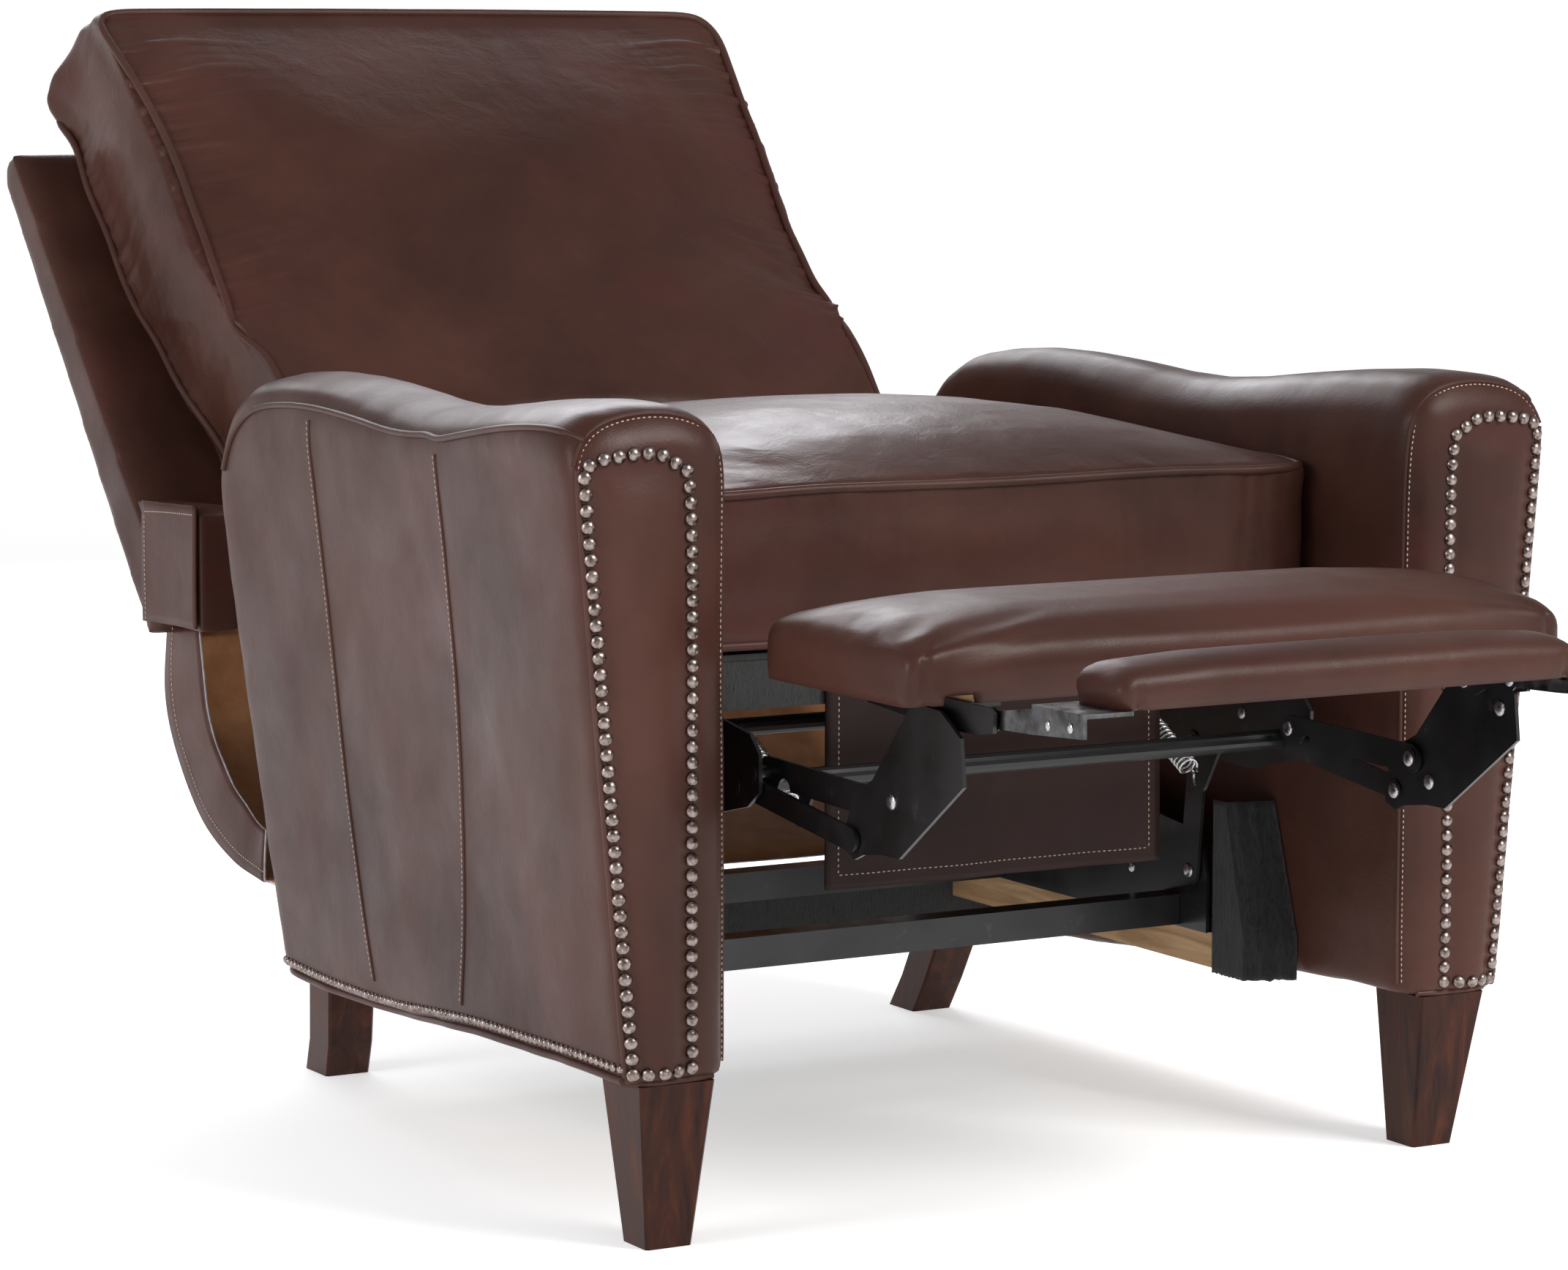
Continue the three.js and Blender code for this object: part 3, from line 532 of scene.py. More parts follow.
def bead_tree(name, material, segments, rings):
    """Flattened beads standing on points: round for nail and rivet heads, long for stitches."""
    tree, given, out = node_group(name, Length=0.01, Width=0.01, Height=0.003)
    ball = tree.nodes.new("GeometryNodeMeshUVSphere")
    ball.inputs["Segments"].default_value = segments
    ball.inputs["Rings"].default_value = rings
    ball.inputs["Radius"].default_value = 0.5
    size = tree.nodes.new("ShaderNodeCombineXYZ")
    for axis, label in (("X", "Length"), ("Y", "Width"), ("Z", "Height")):
        tree.links.new(given.outputs[label], size.inputs[axis])
    shape = tree.nodes.new("GeometryNodeTransform")
    tree.links.new(ball.outputs["Mesh"], shape.inputs["Geometry"])
    tree.links.new(size.outputs["Vector"], shape.inputs["Scale"])
    smooth = tree.nodes.new("GeometryNodeSetShadeSmooth")
    tree.links.new(shape.outputs["Geometry"], smooth.inputs["Geometry"])
    stand = tree.nodes.new("GeometryNodeInstanceOnPoints")
    tree.links.new(given.outputs["Geometry"], stand.inputs["Points"])
    tree.links.new(smooth.outputs["Geometry"], stand.inputs["Instance"])
    upright = aligned(tree, direction_of(tree, "out"), "Z")
    along = aligned(tree, direction_of(tree, "run"), "X", "Z", upright)
    tree.links.new(along, stand.inputs["Rotation"])
    return ended(tree, stand.outputs["Instances"], out, material)


def coil_tree(material):
    """A wound wire spring standing along Z from the origin."""
    tree, given, out = node_group("spring_coil", Turns=14.0, Radius=0.009, Length=0.09, Wire=0.0012)
    spiral = tree.nodes.new("GeometryNodeCurveSpiral")
    spiral.inputs["Resolution"].default_value = 14
    fed = {"Rotations": "Turns", "Start Radius": "Radius", "End Radius": "Radius", "Height": "Length"}
    for socket, label in fed.items():
        tree.links.new(given.outputs[label], spiral.inputs[socket])
    section = tree.nodes.new("GeometryNodeCurvePrimitiveCircle")
    section.inputs["Resolution"].default_value = 8
    tree.links.new(given.outputs["Wire"], section.inputs["Radius"])
    sweep = tree.nodes.new("GeometryNodeCurveToMesh")
    sweep.inputs["Fill Caps"].default_value = True
    tree.links.new(spiral.outputs["Curve"], sweep.inputs["Curve"])
    tree.links.new(section.outputs["Curve"], sweep.inputs["Profile Curve"])
    smooth = tree.nodes.new("GeometryNodeSetShadeSmooth")
    tree.links.new(sweep.outputs["Mesh"], smooth.inputs["Geometry"])
    return ended(tree, smooth.outputs["Geometry"], out, material)


def grown(name, tree, mesh, sizes, material):
    """Runs a node tree on a mesh and returns the result as a plain piece."""
    seedling = bpy.data.objects.new(name, mesh)
    scene.collection.objects.link(seedling)
    modifier = seedling.modifiers.new("grow", "NODES")
    modifier.node_group = tree
    for item in tree.interface.items_tree:
        if item.item_type == "SOCKET" and item.in_out == "INPUT" and item.name in sizes:
            modifier[item.identifier] = sizes[item.name]
    bpy.context.view_layer.update()
    made = bpy.data.meshes.new_from_object(seedling.evaluated_get(bpy.context.evaluated_depsgraph_get()))
    seedling.modifiers.clear()
    seedling.data = made
    made.materials.clear()
    made.materials.append(material)
    return seedling


nail_tree = bead_tree("nail_heads", nail_metal, 12, 7)
rivet_tree = bead_tree("rivet_heads", zinc, 12, 6)
stitch_tree = bead_tree("stitches", thread, 6, 4)
spring_tree = coil_tree(spring_wire)


def beads(name, tree, material, places, outs, runs, length_mm, width_mm, height_mm):
    """places: where each bead stands; outs: the way it faces; runs: the way it lies."""
    mesh = bpy.data.meshes.new(name)
    mesh.from_pydata([tuple(p) for p in places], [], [])
    for label, vectors in (("out", outs), ("run", runs)):
        a = mesh.attributes.new(label, "FLOAT_VECTOR", "POINT")
        a.data.foreach_set("vector", np.array([list(v) for v in vectors], np.float32).ravel())
    sizes = {"Length": length_mm * MM, "Width": width_mm * MM, "Height": height_mm * MM}
    return grown(name, tree, mesh, sizes, material)


def round_heads(name, tree, material, places, outs, across_mm, high_mm):
    """Nail or rivet heads, each facing out of its surface."""
    upwards = [Vector((0, 0, 1))] * len(places)
    return beads(name, tree, material, places, outs, upwards, across_mm, across_mm, high_mm)


def runs_of(points):
    """The way a line runs at each of its points."""
    q = np.array([list(p) for p in points])
    d = np.roll(q, -1, 0) - np.roll(q, 1, 0)
    d[0], d[-1] = q[1] - q[0], q[-1] - q[-2]
    return [Vector(v).normalized() for v in d]


def stitch_row(name, points, outs, pitch_mm):
    """Stitches along a line on a surface."""
    q = np.array([list(p) + list(o) for p, o in zip(points, outs)])
    steps = np.linalg.norm(np.diff(q[:, :3], axis=0), axis=1)
    length = np.concatenate([[0], np.cumsum(steps)])
    s = np.arange(pitch_mm * MM / 2, length[-1], pitch_mm * MM)
    even = np.stack([np.interp(s, length, q[:, k]) for k in range(6)], 1)
    places = [Vector(p[:3]) for p in even]
    normals = [Vector(p[3:]).normalized() for p in even]
    return beads(name, stitch_tree, thread, places, normals, runs_of(places), pitch_mm * 0.66, 1.15, 1.2)


# ---- cloth -------------------------------------------------------------------------------------------------
FILLING_FRAMES = 20


def puffed(obj, pressure, cap_mm, held):
    """Blows a closed leather cover up like a stuffed cushion; no point moves farther than cap_mm."""
    before = points_of(obj)
    cloth = obj.modifiers.new("stuffing", "CLOTH")
    s = cloth.settings
    s.quality = 5
    s.mass = 0.4
    s.tension_stiffness = 22
    s.compression_stiffness = 12
    s.shear_stiffness = 8
    s.bending_stiffness = 1.2
    s.use_pressure = True
    s.uniform_pressure_force = pressure
    s.effector_weights.gravity = 0
    group = obj.vertex_groups.new(name="held")
    held = np.round(held, 1)
    for strength in np.unique(held):
        if strength > 0:
            group.add([int(i) for i in np.nonzero(held == strength)[0]], float(strength), "REPLACE")
    s.vertex_group_mass = "held"
    s.pin_stiffness = 1.0
    cloth.point_cache.frame_start = 1
    cloth.point_cache.frame_end = FILLING_FRAMES
    for step in range(1, FILLING_FRAMES + 1):
        scene.frame_set(step)
    settled(obj)
    obj.vertex_groups.clear()
    scene.frame_set(1)
    after = points_of(obj)
    move = after - before
    far = np.linalg.norm(move, axis=1, keepdims=True)
    limit = cap_mm * MM
    set_points(obj, before + move * np.minimum(1, limit / np.maximum(far, 1e-9)))
    return obj


def eased(obj, passes):
    """Smooths an object's surface."""
    ease = obj.modifiers.new("ease", "SMOOTH")
    ease.factor = 0.5
    ease.iterations = passes
    return settled(obj)


def subdivided(obj):
    finer = obj.modifiers.new("finer", "SUBSURF")
    finer.levels = finer.render_levels = 1
    return settled(obj)


# ---- arms --------------------------------------------------------------------------------------------------
ARM_INNER = 302
INNER_ROUND = 30
ARM_FRONT = -22.0
ARM_MIDDLE = 368
# the nails on an arm's front, as (|x|, z): up the outer edge, over the top and down the inner edge
NAIL_CORNERS = [
    (385.5, 136), (409, 405), (422, 555), (421, 574), (408, 581), (371, 584),
    (352, 577), (340, 560), (337.5, 455), (339, 230), (338.5, 137),
]
NAIL_FOOT = [(375, 135.5), (363.5, 135.5), (351, 136)]
# lines on an arm's outer face, as (y, z)
LOWER_EDGE = [
    (-14, 140), (62, 139), (150, 134), (240, 129), (330, 121), (430, 111), (520, 106), (600, 104), (684, 104),
]
CREST = [
    (-14, 588), (20, 591), (90, 588), (180, 580), (270, 572), (350, 571),
    (440, 578), (525, 582), (600, 579), (650, 570), (690, 548), (712, 520),
]
SIDE_SEAMS = (
    [(250, 566), (248, 480), (250, 330), (262, 220), (280, 136)],
    [(522, 574), (516, 480), (508, 330), (494, 220), (470, 122)],
)
# the front panel's sewn edge, as (|x|, y, z): up the inner face, round the soft corner and over the crown
FRONT_PANEL = [
    (305, -5, 136), (305, -5, 300), (305, -5, 470), (307, -5, 540), (315, -6, 580),
    (335, -8, 602), (366, -9, 612), (398, -9, 606), (420, -11, 592), (431, -16, 578),
]
PANEL_CROWN = 575


def round_inner_corner(obj):
    """The front edge next to the sitter is a large soft round; the outer one stays a sewn corner."""
    co = points_of(obj)
    x, y, _ = millimetres(co)
    inset = np.clip(x - ARM_INNER, 0, INNER_ROUND)
    least = ARM_FRONT + INNER_ROUND - np.sqrt(np.maximum(0, INNER_ROUND**2 - (INNER_ROUND - inset) ** 2))
    corner = (x < ARM_INNER + INNER_ROUND) & (y < ARM_FRONT + INNER_ROUND)
    co[:, 1] = np.where(corner, np.maximum(y, least), y) * MM + SHIFT_Y
    set_points(obj, co)


def pad_arm(obj, side):
    """A padded roll inside the nails, and slack leather on the broad faces."""
    co, n = points_of(obj), normals_of(obj)
    x, _, z = millimetres(co)
    on_front = n[:, 1] < -0.6
    inner = np.interp(z, [137, 455, 560], [347, 346, 348])
    outer = np.interp(z, [136, 405, 555], [377, 400, 413])
    across = np.clip((x - inner) / (outer - inner), 0, 1)
    up = np.clip((z - 128) / 10, 0, 1) * np.clip((574 - z) / 24, 0, 1)
    roll = np.sin(np.pi * across) ** 0.55 * up * on_front
    groove = np.exp(-(((x - inner + 7) / 5) ** 2)) * up * on_front * (z < 560)
    slack = soft_noise(co, 7, 3 + side) * 1.3 + soft_noise(co, 20, 5 + side) * 0.25
    broad = np.clip((z - 140) / 40, 0, 1)
    co += n * ((5.2 * roll - 1.0 * groove + slack * broad * (1 - 0.6 * on_front)) * MM)[:, None]
    set_points(obj, co)


def arm_nails(name, on_front, on_outside):
    places, outs = on_front(NAIL_CORNERS, 11.7, 0.5)
    foot, foot_outs = on_front(NAIL_FOOT, 11.9, 0.4)
    low, low_outs = on_outside(LOWER_EDGE, 8.6, 0.3)
    return [
        round_heads(f"front_nails_{name}", nail_tree, nail_metal, places + foot, outs + foot_outs, 11, 7.8),
        round_heads(f"edge_nails_{name}", nail_tree, nail_metal, low, low_outs, 7.4, 6),
    ]


def arm_welts(side, name, tree, on_front, on_outside):
    """Piping along the lower edge, up the outer front corner, and along the outer top edge."""
    side_hem, _ = on_outside([(y, z - 8.5) for y, z in LOWER_EDGE], 6, 1.2)
    front_hem, _ = on_front([(318, 128), (350, 127.5), (388, 128)], 6, 1.4)
    corner = smooth_path([(394, 134), (410, 320), (428, 540), (430, 574)], 8)
    start = [at(side * x, -20, z) for x, z in corner]
    front_edge, _ = cast(tree, start, [(side, -1, 0)] * len(corner), 40, 0.2)
    crest = [at(side * (400 if y < 260 else 384), y, z) for y, z in smooth_path(CREST, 8)]
    top, _ = cast(tree, crest, [(side, 0, 0.35)] * len(crest), 70, 0.9)
    return [
        tube(f"hem_front_{name}", evened(front_hem), 3),
        tube(f"hem_side_{name}", evened(side_hem), 3),
        tube(f"corner_{name}", evened(front_edge, 4), 2.2),
        tube(f"crest_{name}", evened(top, 5), 2.7),
    ]


def arm_side_seams(name, on_outside):
    """Two upright seams on the outer face, each a thin welt with a row of stitches beside it."""
    pieces = []
    for k, line in enumerate(SIDE_SEAMS):
        seam, _ = on_outside(line, 7, 0)
        pieces.append(tube(f"seam_{k}_{name}", evened(seam, 4), 1.4))
        beside, outs = on_outside([(y + 3.6, z) for y, z in line], 7, 0.55)
        pieces.append(stitch_row(f"seam_stitch_{k}_{name}", evened(beside, 4), outs, 4.6))
    return pieces


def arm_front_panel(side, name, tree):
    """The welt along the front panel's edge, and the stitches a little in front of it."""

    def sewn(shift, proud):
        line = [(x, y + (shift if z < PANEL_CROWN else shift * 0.9), z) for x, y, z in FRONT_PANEL]
        path = smooth_path(line, 7)
        facing = [(side * (x - ARM_MIDDLE) / 60, -0.42, min(1.2, max(0, (z - 525) / 60))) for x, _, z in path]
        return cast(tree, [at(side * x, y, z) for x, y, z in path], facing, 40, proud)

    edge, _ = sewn(0, 0.5)
    row, outs = sewn(-4.2, 0.6)
    return [
        tube(f"panel_edge_{name}", evened(edge, 4), 1.7),
        stitch_row(f"panel_stitch_{name}", evened(row, 4), outs, 4.4),
    ]


def arm(side, name):
    obj = remeshed(copied(f"arm_{name}", f"arm_cover_{name}"), 6, 2)
    round_inner_corner(obj)
    obj = remeshed(obj, 5, 7)
    pad_arm(obj, side)
    obj = shaded(painted(obj, leather))
    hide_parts(f"arm_{name}")
    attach(obj, "base")
    tree = surface(obj)

    def on_front(corners, step, proud):
        """Points on the arm's front, through corners given as (|x|, z), and the way each faces."""
        path = smooth_path(corners, step)
        return cast(tree, [at(side * x, -24, z) for x, z in path], [(0, -1, 0)] * len(path), 30, proud)

    def on_outside(corners, step, proud):
        """The same on the outer face, through corners given as (y, z)."""
        path = smooth_path(corners, step)
        return cast(tree, [at(side * 400, y, z) for y, z in path], [(side, 0, 0)] * len(path), 80, proud)

    trimmed(arm_nails(name, on_front, on_outside), "base")
    trimmed(arm_welts(side, name, tree, on_front, on_outside), "base")
    trimmed(arm_side_seams(name, on_outside), "base")
    trimmed(arm_front_panel(side, name, tree), "base")


for side, name in SIDES:
    arm(side, name)


# ---- cushions ----------------------------------------------------------------------------------------------
# the reclined back: which way is up along it, which way is out of its face, and where its board's foot stands
UP_Y, UP_Z = 0.6846, 0.7290
BACK_UP = Vector((0, UP_Y, UP_Z))
BACK_OUT = Vector((0, -UP_Z, UP_Y))
BACK_FOOT_Y, BACK_FOOT_Z = 871.4, 397


def up_the_back(y, z):
    return y * UP_Y + z * UP_Z


def out_of_the_back(y, z):
    return (y - BACK_FOOT_Y) * -UP_Z + (z - BACK_FOOT_Z) * UP_Y


def gathers(obj, distance, along, depth_mm, reach_mm, pitch_mm, seed):
    """Short gathered folds that run away from a sewn edge and fade out: soft ridges with sharper valleys."""
    co, n = points_of(obj), normals_of(obj)
    near = np.exp(-((np.clip(distance, 0, None) / reach_mm) ** 1.6)) * np.clip(distance / 5, 0, 1)
    reach = 0.7 + 0.6 * soft_noise(co, 17, seed + 5)
    drift = soft_noise(co, 12, seed) * 12
    wave = np.array([noise.noise(Vector(((s + d) / pitch_mm, seed, 0))) for s, d in zip(along, drift)])
    fold = (0.9 * wave - 0.55 * np.exp(-((wave / 0.1) ** 2))) * near * np.clip(reach, 0.15, 1.3)
    set_points(obj, co + n * (fold * depth_mm * MM)[:, None])


def edge_distance(obj, *lines):
    """How far each point lies from the nearest of the sewn edges, in millimetres; lines give |x|, y, z."""
    x, y, z = millimetres(points_of(obj))
    co = np.stack([x, y, z], 1)
    best = np.full(len(co), 1e9)
    for line in lines:
        for q in smooth_path(line, 6):
            best = np.minimum(best, np.linalg.norm(co - q, axis=1))
    return best


def cushion(node, name, pressure, cap_mm, start_mm, seams, hold, shape=None):
    """The sewn edges are held by their piping while the faces between them fill out."""
    obj = remeshed(copied(node, name), 6, 3)
    if shape:
        shape(obj)
    sewn = np.exp(-((edge_distance(obj, *seams) / 17) ** 2))
    co, n = points_of(obj), normals_of(obj)
    set_points(obj, co - n * (start_mm * (1 - sewn) * MM)[:, None])
    puffed(obj, pressure, cap_mm, np.clip(np.maximum(hold(obj), sewn * 0.97), 0, 1))
    eased(obj, 5)
    return shaded(painted(subdivided(obj), leather_creased))


def finished(obj, node, body, fill, *piping):
    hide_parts(node)
    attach(obj, body)
    trimmed(piping, body)


# half of each sewn edge, as (|x|, y, z), from the foot up the side to the middle of the top
BACK_FRONT_EDGE = [
    (288, 748, 524), (288, 800, 582), (290, 838, 612), (310, 864, 630), (317, 895, 664), (320, 952, 728),
    (320, 1005, 790), (320, 1064, 842), (319, 1114, 879), (317, 1145, 899), (300, 1156, 906),
    (150, 1159, 910), (0, 1160, 911),
]
BACK_REAR_EDGE = [
    (306, 930, 500), (307, 985, 556), (314, 1060, 636), (319, 1140, 720), (319, 1216, 795), (310, 1243, 818),
    (150, 1249, 832), (0, 1249, 834),
]
FAR_AWAY = 500


def whole_loop(line):
    """A half edge and its mirror image as one run from the left end to the right end."""
    left = [(-x, y, z) for x, y, z in line]
    return left + [q for q in reversed(line) if q[0] > 0]


def held_by_board(obj):
    """The back cushion's rear face lies on its board."""
    rel = points_of(obj) - np.array(at(0, BACK_FOOT_Y, BACK_FOOT_Z))
    return np.clip(1 - (rel @ np.array(BACK_OUT) / MM - 6) / 30, 0, 1) * 0.9


def broadened(obj):
    """Above the arms the back cushion is free to spread, and its crown stands a little higher."""
    co = points_of(obj)
    _, y, z = millimetres(co)
    s = up_the_back(y, z)
    t = np.clip((s - 1050) / 130, 0, 1)
    co[:, 0] *= 1 + 0.045 * t * t * (3 - 2 * t)
    u = np.clip((s - 1380) / 130, 0, 1)
    co += np.outer(8 * MM * u * u * (3 - 2 * u), np.array(BACK_UP))
    set_points(obj, co)


def swell_boxing(obj):
    """The back cushion's boxing swells between its two edges, and kicks out into an ear near the top."""
    co, n = points_of(obj), normals_of(obj)
    _, y, z = millimetres(co)
    s, depth = up_the_back(y, z), out_of_the_back(y, z)
    boxing = np.clip((np.abs(n[:, 0]) - 0.35) / 0.4, 0, 1)
    ear = np.exp(-(((s - 1452) / 34) ** 2)) * np.exp(-(((depth - 20) / 45) ** 2))
    nick = np.exp(-(((s - 1515) / 16) ** 2)) * np.exp(-(((depth - 20) / 40) ** 2))
    ripple = np.sin(s / 21) * 2.2 + np.sin(s / 34 + 1) * 2.4
    push = boxing * (ear * 20 - nick * 9 + ripple * np.exp(-(((depth - 15) / 32) ** 2)))
    co[:, 0] += np.sign(co[:, 0]) * push * MM
    set_points(obj, co)


def gather_back(obj):
    """Gathers on the back cushion: in from its front edge, down from its top, and round its boxing."""
    x, y, z = millimetres(points_of(obj))
    n = normals_of(obj)
    s, depth = up_the_back(y, z), out_of_the_back(y, z)
    off_face = np.where((n @ np.array(BACK_OUT) > 0.62) & (s > 1070), 0, FAR_AWAY)
    off_side = np.where(np.abs(n[:, 0]) > 0.72, 0, FAR_AWAY)
    gathers(obj, edge_distance(obj, BACK_FRONT_EDGE[:-3]) + off_face, s, 4.2, 62, 13, 2)
    gathers(obj, np.clip(1500 - s, 0, None) + off_face, x * 0.8, 1.8, 46, 30, 12)
    gathers(obj, np.abs(depth - 14) + off_side, s, 2.4, 52, 15, 4)


def back_cushion():
    edges = (BACK_FRONT_EDGE, BACK_REAR_EDGE)
    obj = cushion("back_cushion", "back_cushion_cover", 4.2, 24, 6, edges, held_by_board, broadened)
    swell_boxing(obj)
    tree = surface(obj)

    def welted(name, line, facing, proud):
        path = smooth_path(whole_loop(line), 8)
        start = [at(x * 1.01, y + 2, z - 2) for x, y, z in path]
        places, _ = cast(tree, start, [facing(*q) for q in path], 45, proud)
        return tube(name, evened(places, 5), WELT_R)

    def front_facing(x, y, z):
        outwards = Vector((np.clip(x / 250, -1, 1) ** 3, 0, 0)) + BACK_OUT * 0.62
        return outwards + BACK_UP * (0.62 if abs(x) < 286 and z > 880 else 0)

    def rear_facing(x, y, z):
        outwards = Vector((0.95 * np.clip(x / 250, -1, 1) ** 3, 0, 0)) - BACK_OUT * 0.2
        return outwards + BACK_UP * (0.9 if z > 812 else 0)

    front_welt = welted("back_front_welt", BACK_FRONT_EDGE, front_facing, 1.3)
    rear_welt = welted("back_rear_welt", BACK_REAR_EDGE, rear_facing, 1.0)
    gather_back(obj)
    finished(obj, "back_cushion", "back", 0.7, front_welt, rear_welt)


SEAT_TOP_EDGE = [
    (292, 636, 545), (297, 480, 548), (297, 300, 546), (295, 150, 542), (286, 106, 541), (150, 103, 543),
    (0, 101, 543),
]
SEAT_LOW_EDGE = [(292, 300, 424), (290, 112, 424), (150, 107, 424), (0, 106, 424)]
SEAT_FRONT = 106
SEAT_CROWN = 543


def held_by_deck(obj):
    """The seat cushion's underside lies on the deck."""
    return np.clip(1 - (points_of(obj)[:, 2] / MM - 425) / 40, 0, 1)


def seat_cushion():
    edges = (SEAT_TOP_EDGE, SEAT_LOW_EDGE)
    obj = cushion("seat_cushion", "seat_cushion_cover", 3.4, 22, 5, edges, held_by_deck)
    tree = surface(obj)
    path = smooth_path(whole_loop(SEAT_TOP_EDGE), 8)
    facing = [(np.clip(x / 290, -1, 1) ** 5, -0.8 if y < 112 else 0, 0.75) for x, y, _ in path]
    places, _ = cast(tree, [at(*q) for q in path], facing, 40, 0.6)
    top_welt = tube("seat_top_welt", evened(places, 5), WELT_R)
    path = smooth_path([(-290, 110, 424), (0, 106, 424), (290, 110, 424)], 9)
    places, _ = cast(tree, [at(*q) for q in path], [(0, -1, -0.4)] * len(path), 40, 0.3)
    low_welt = tube("seat_lower_welt", evened(places, 5), WELT_R)
    co = points_of(obj)
    _, y, z = millimetres(co)
    across = co[:, 0] / MM
    gathers(obj, np.where(y < 125, np.clip(SEAT_CROWN - z, 0, None), 400), across, 1.5, 80, 38, 6)
    gathers(obj, np.where(z > 545, np.clip(y - SEAT_FRONT, 0, None), 400), across, 1.0, 40, 30, 8)
    finished(obj, "seat_cushion", "seat", 0.8, top_welt, low_welt)


def wrap_board(obj, low):
    """The pad's leather goes round the board's edge, so its underside drops to the board's."""
    co = points_of(obj)
    floor = co[:, 2].min()
    co[:, 2] = np.where(co[:, 2] < floor + MM, low * MM, co[:, 2])
    set_points(obj, co)


def flatten_underside(obj, front, low):
    """The underside lies flat on the board, and is raised where the front plates stand under it."""
    co = points_of(obj)
    bottom = co[:, 2] < (low + 5) * MM
    co[:, 2] = np.where(bottom, np.minimum(co[:, 2], low * MM), co[:, 2])
    x, y, _ = millimetres(co)
    nest = bottom & (x > 229) & (x < 251) & (y > front + 3)
    co[:, 2] = np.where(nest, 438.3 * MM, co[:, 2])
    set_points(obj, co)


def sew_darts(obj, half, front, top):
    """A sewn dart at each front corner."""
    co, n = points_of(obj), normals_of(obj)
    x, y, z = millimetres(co)
    dart = np.exp(-(((half - 12 - x) - (y - front)) / 2.2) ** 2) * np.clip((top - 12 - z) / 12, 0, 1)
    dart = dart * (y < front + 26) * (x > half - 40)
    set_points(obj, co - n * (dart * 2.2 * MM)[:, None])


def foot_pad(node, name, body, half, front, low, top):
    """half is half the pad's width; front, low and top are where its front, underside and crown lie."""
    obj = copied(node, name)
    wrap_board(obj, low)
    obj = remeshed(obj, 4, 4)
    co, n = points_of(obj), normals_of(obj)
    low_part = np.clip(1 - (co[:, 2] / MM - low - 10) / 10, 0, 1)
    set_points(obj, co - n * (1.5 * (1 - low_part) * MM)[:, None])
    puffed(obj, 1.2, 2.5, low_part)
    eased(obj, 14)
    flatten_underside(obj, front, low)
    sew_darts(obj, half, front, top)
    finished(shaded(painted(obj, leather)), node, body, 0.9)


back_cushion()
seat_cushion()
foot_pad("footrest_pad", "footrest_pad_cover", "footrest", half=285, front=-235, low=419.4, top=482)
foot_pad("flipper_pad", "flipper_pad_cover", "flipper", half=197, front=-367, low=426.4, top=462)


# ---- back frame, posts, side flaps -------------------------------------------------------------------------
def covered(node, name, voxel):
    """A firm upholstered piece of the back, with a little slack in its leather."""
    obj = remeshed(copied(node, name), voxel, 4)
    co, n = points_of(obj), normals_of(obj)
    set_points(obj, co + n * (soft_noise(co, 11, 9) * 0.8 * MM)[:, None])
    obj = shaded(painted(obj, leather))
    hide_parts(node)
    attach(obj, "back")
    return obj


def back_edge_welt(side, name, tree):
    path = smooth_path([(930, 372), (1040, 500), (1150, 629), (1240, 734)], 10)
    facing = [Vector((side, 0.5, -0.5))] * len(path)
    places, _ = cast(tree, [at(side * 372, y, z) for y, z in path], facing, 30, -0.4)
    return tube(f"back_edge_welt_{name}", evened(places, 4), 2.2)


back_cover = covered("back_frame", "back_frame_cover", 6)
back_tree = surface(back_cover)
for side, name in SIDES:
    trimmed([back_edge_welt(side, name, back_tree)], "back")
    covered(f"back_post_{name}", f"back_post_cover_{name}", 3.5)


def grid_sheet(name, rows, thickness_mm, materials, rim=0, inside=0, offset=1.0):
    """A sheet through rows of points, with a thickness; rim and inside pick those faces' finishes."""
    count = len(rows[0])
    mesh = bpy.data.meshes.new(name)
    faces = []
    for r in range(len(rows) - 1):
        for c in range(count - 1):
            a = r * count + c
            faces.append((a, a + 1, a + count + 1, a + count))
    mesh.from_pydata([tuple(p) for row in rows for p in row], [], faces)
    obj = linked(name, mesh, *materials)
    wall = obj.modifiers.new("wall", "SOLIDIFY")
    wall.thickness = thickness_mm * MM
    wall.offset = offset
    wall.use_even_offset = True
    wall.material_offset = inside
    wall.material_offset_rim = rim
    return shaded(settled(obj))


FLAP_FRONT, FLAP_REAR = 799, 916
FLAP_DEPTH = FLAP_REAR - FLAP_FRONT
FLAP_FOOT, FLAP_TOP = 372, 478
# the flap's two rows of stitches, as (y, z): along its top and down its rear edge
FLAP_ROWS = (
    [(804, 474), (860, 472), (908, 469)],
    [(909, 466), (909, 420), (909, 374)],
)


def side_flap(side, name):
    rows = []
    for z in np.linspace(FLAP_FOOT, FLAP_TOP, 16):
        row = []
        for y in np.linspace(FLAP_FRONT, FLAP_REAR, 20):
            lift = 1.2 * math.sin(y * 0.05 + z * 0.03) + 1.5 * max(0, (y - 890) / 26)
            row.append(at(side * (374.2 + lift * 0.5), y, z - 4 * (y - FLAP_FRONT) / FLAP_DEPTH + 4))
        rows.append(row if side > 0 else row[::-1])
    flap = grid_sheet(f"side_flap_{name}", rows, 2.4, (leather, suede, cut_edge))
    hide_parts(f"back_side_flap_{name}")
    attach(flap, "back")
    tree = surface(flap)
    stitches = []
    for k, corners in enumerate(FLAP_ROWS):
        line = smooth_path(corners, 4)
        start = [at(side * 376, y, z) for y, z in line]
        places, outs = cast(tree, start, [(side, 0, 0)] * len(line), 20, 0.1)
        stitches.append(stitch_row(f"flap_stitch_{k}_{name}", places, outs, 4.2))
    trimmed(stitches, "back")


for side, name in SIDES:
    side_flap(side, name)


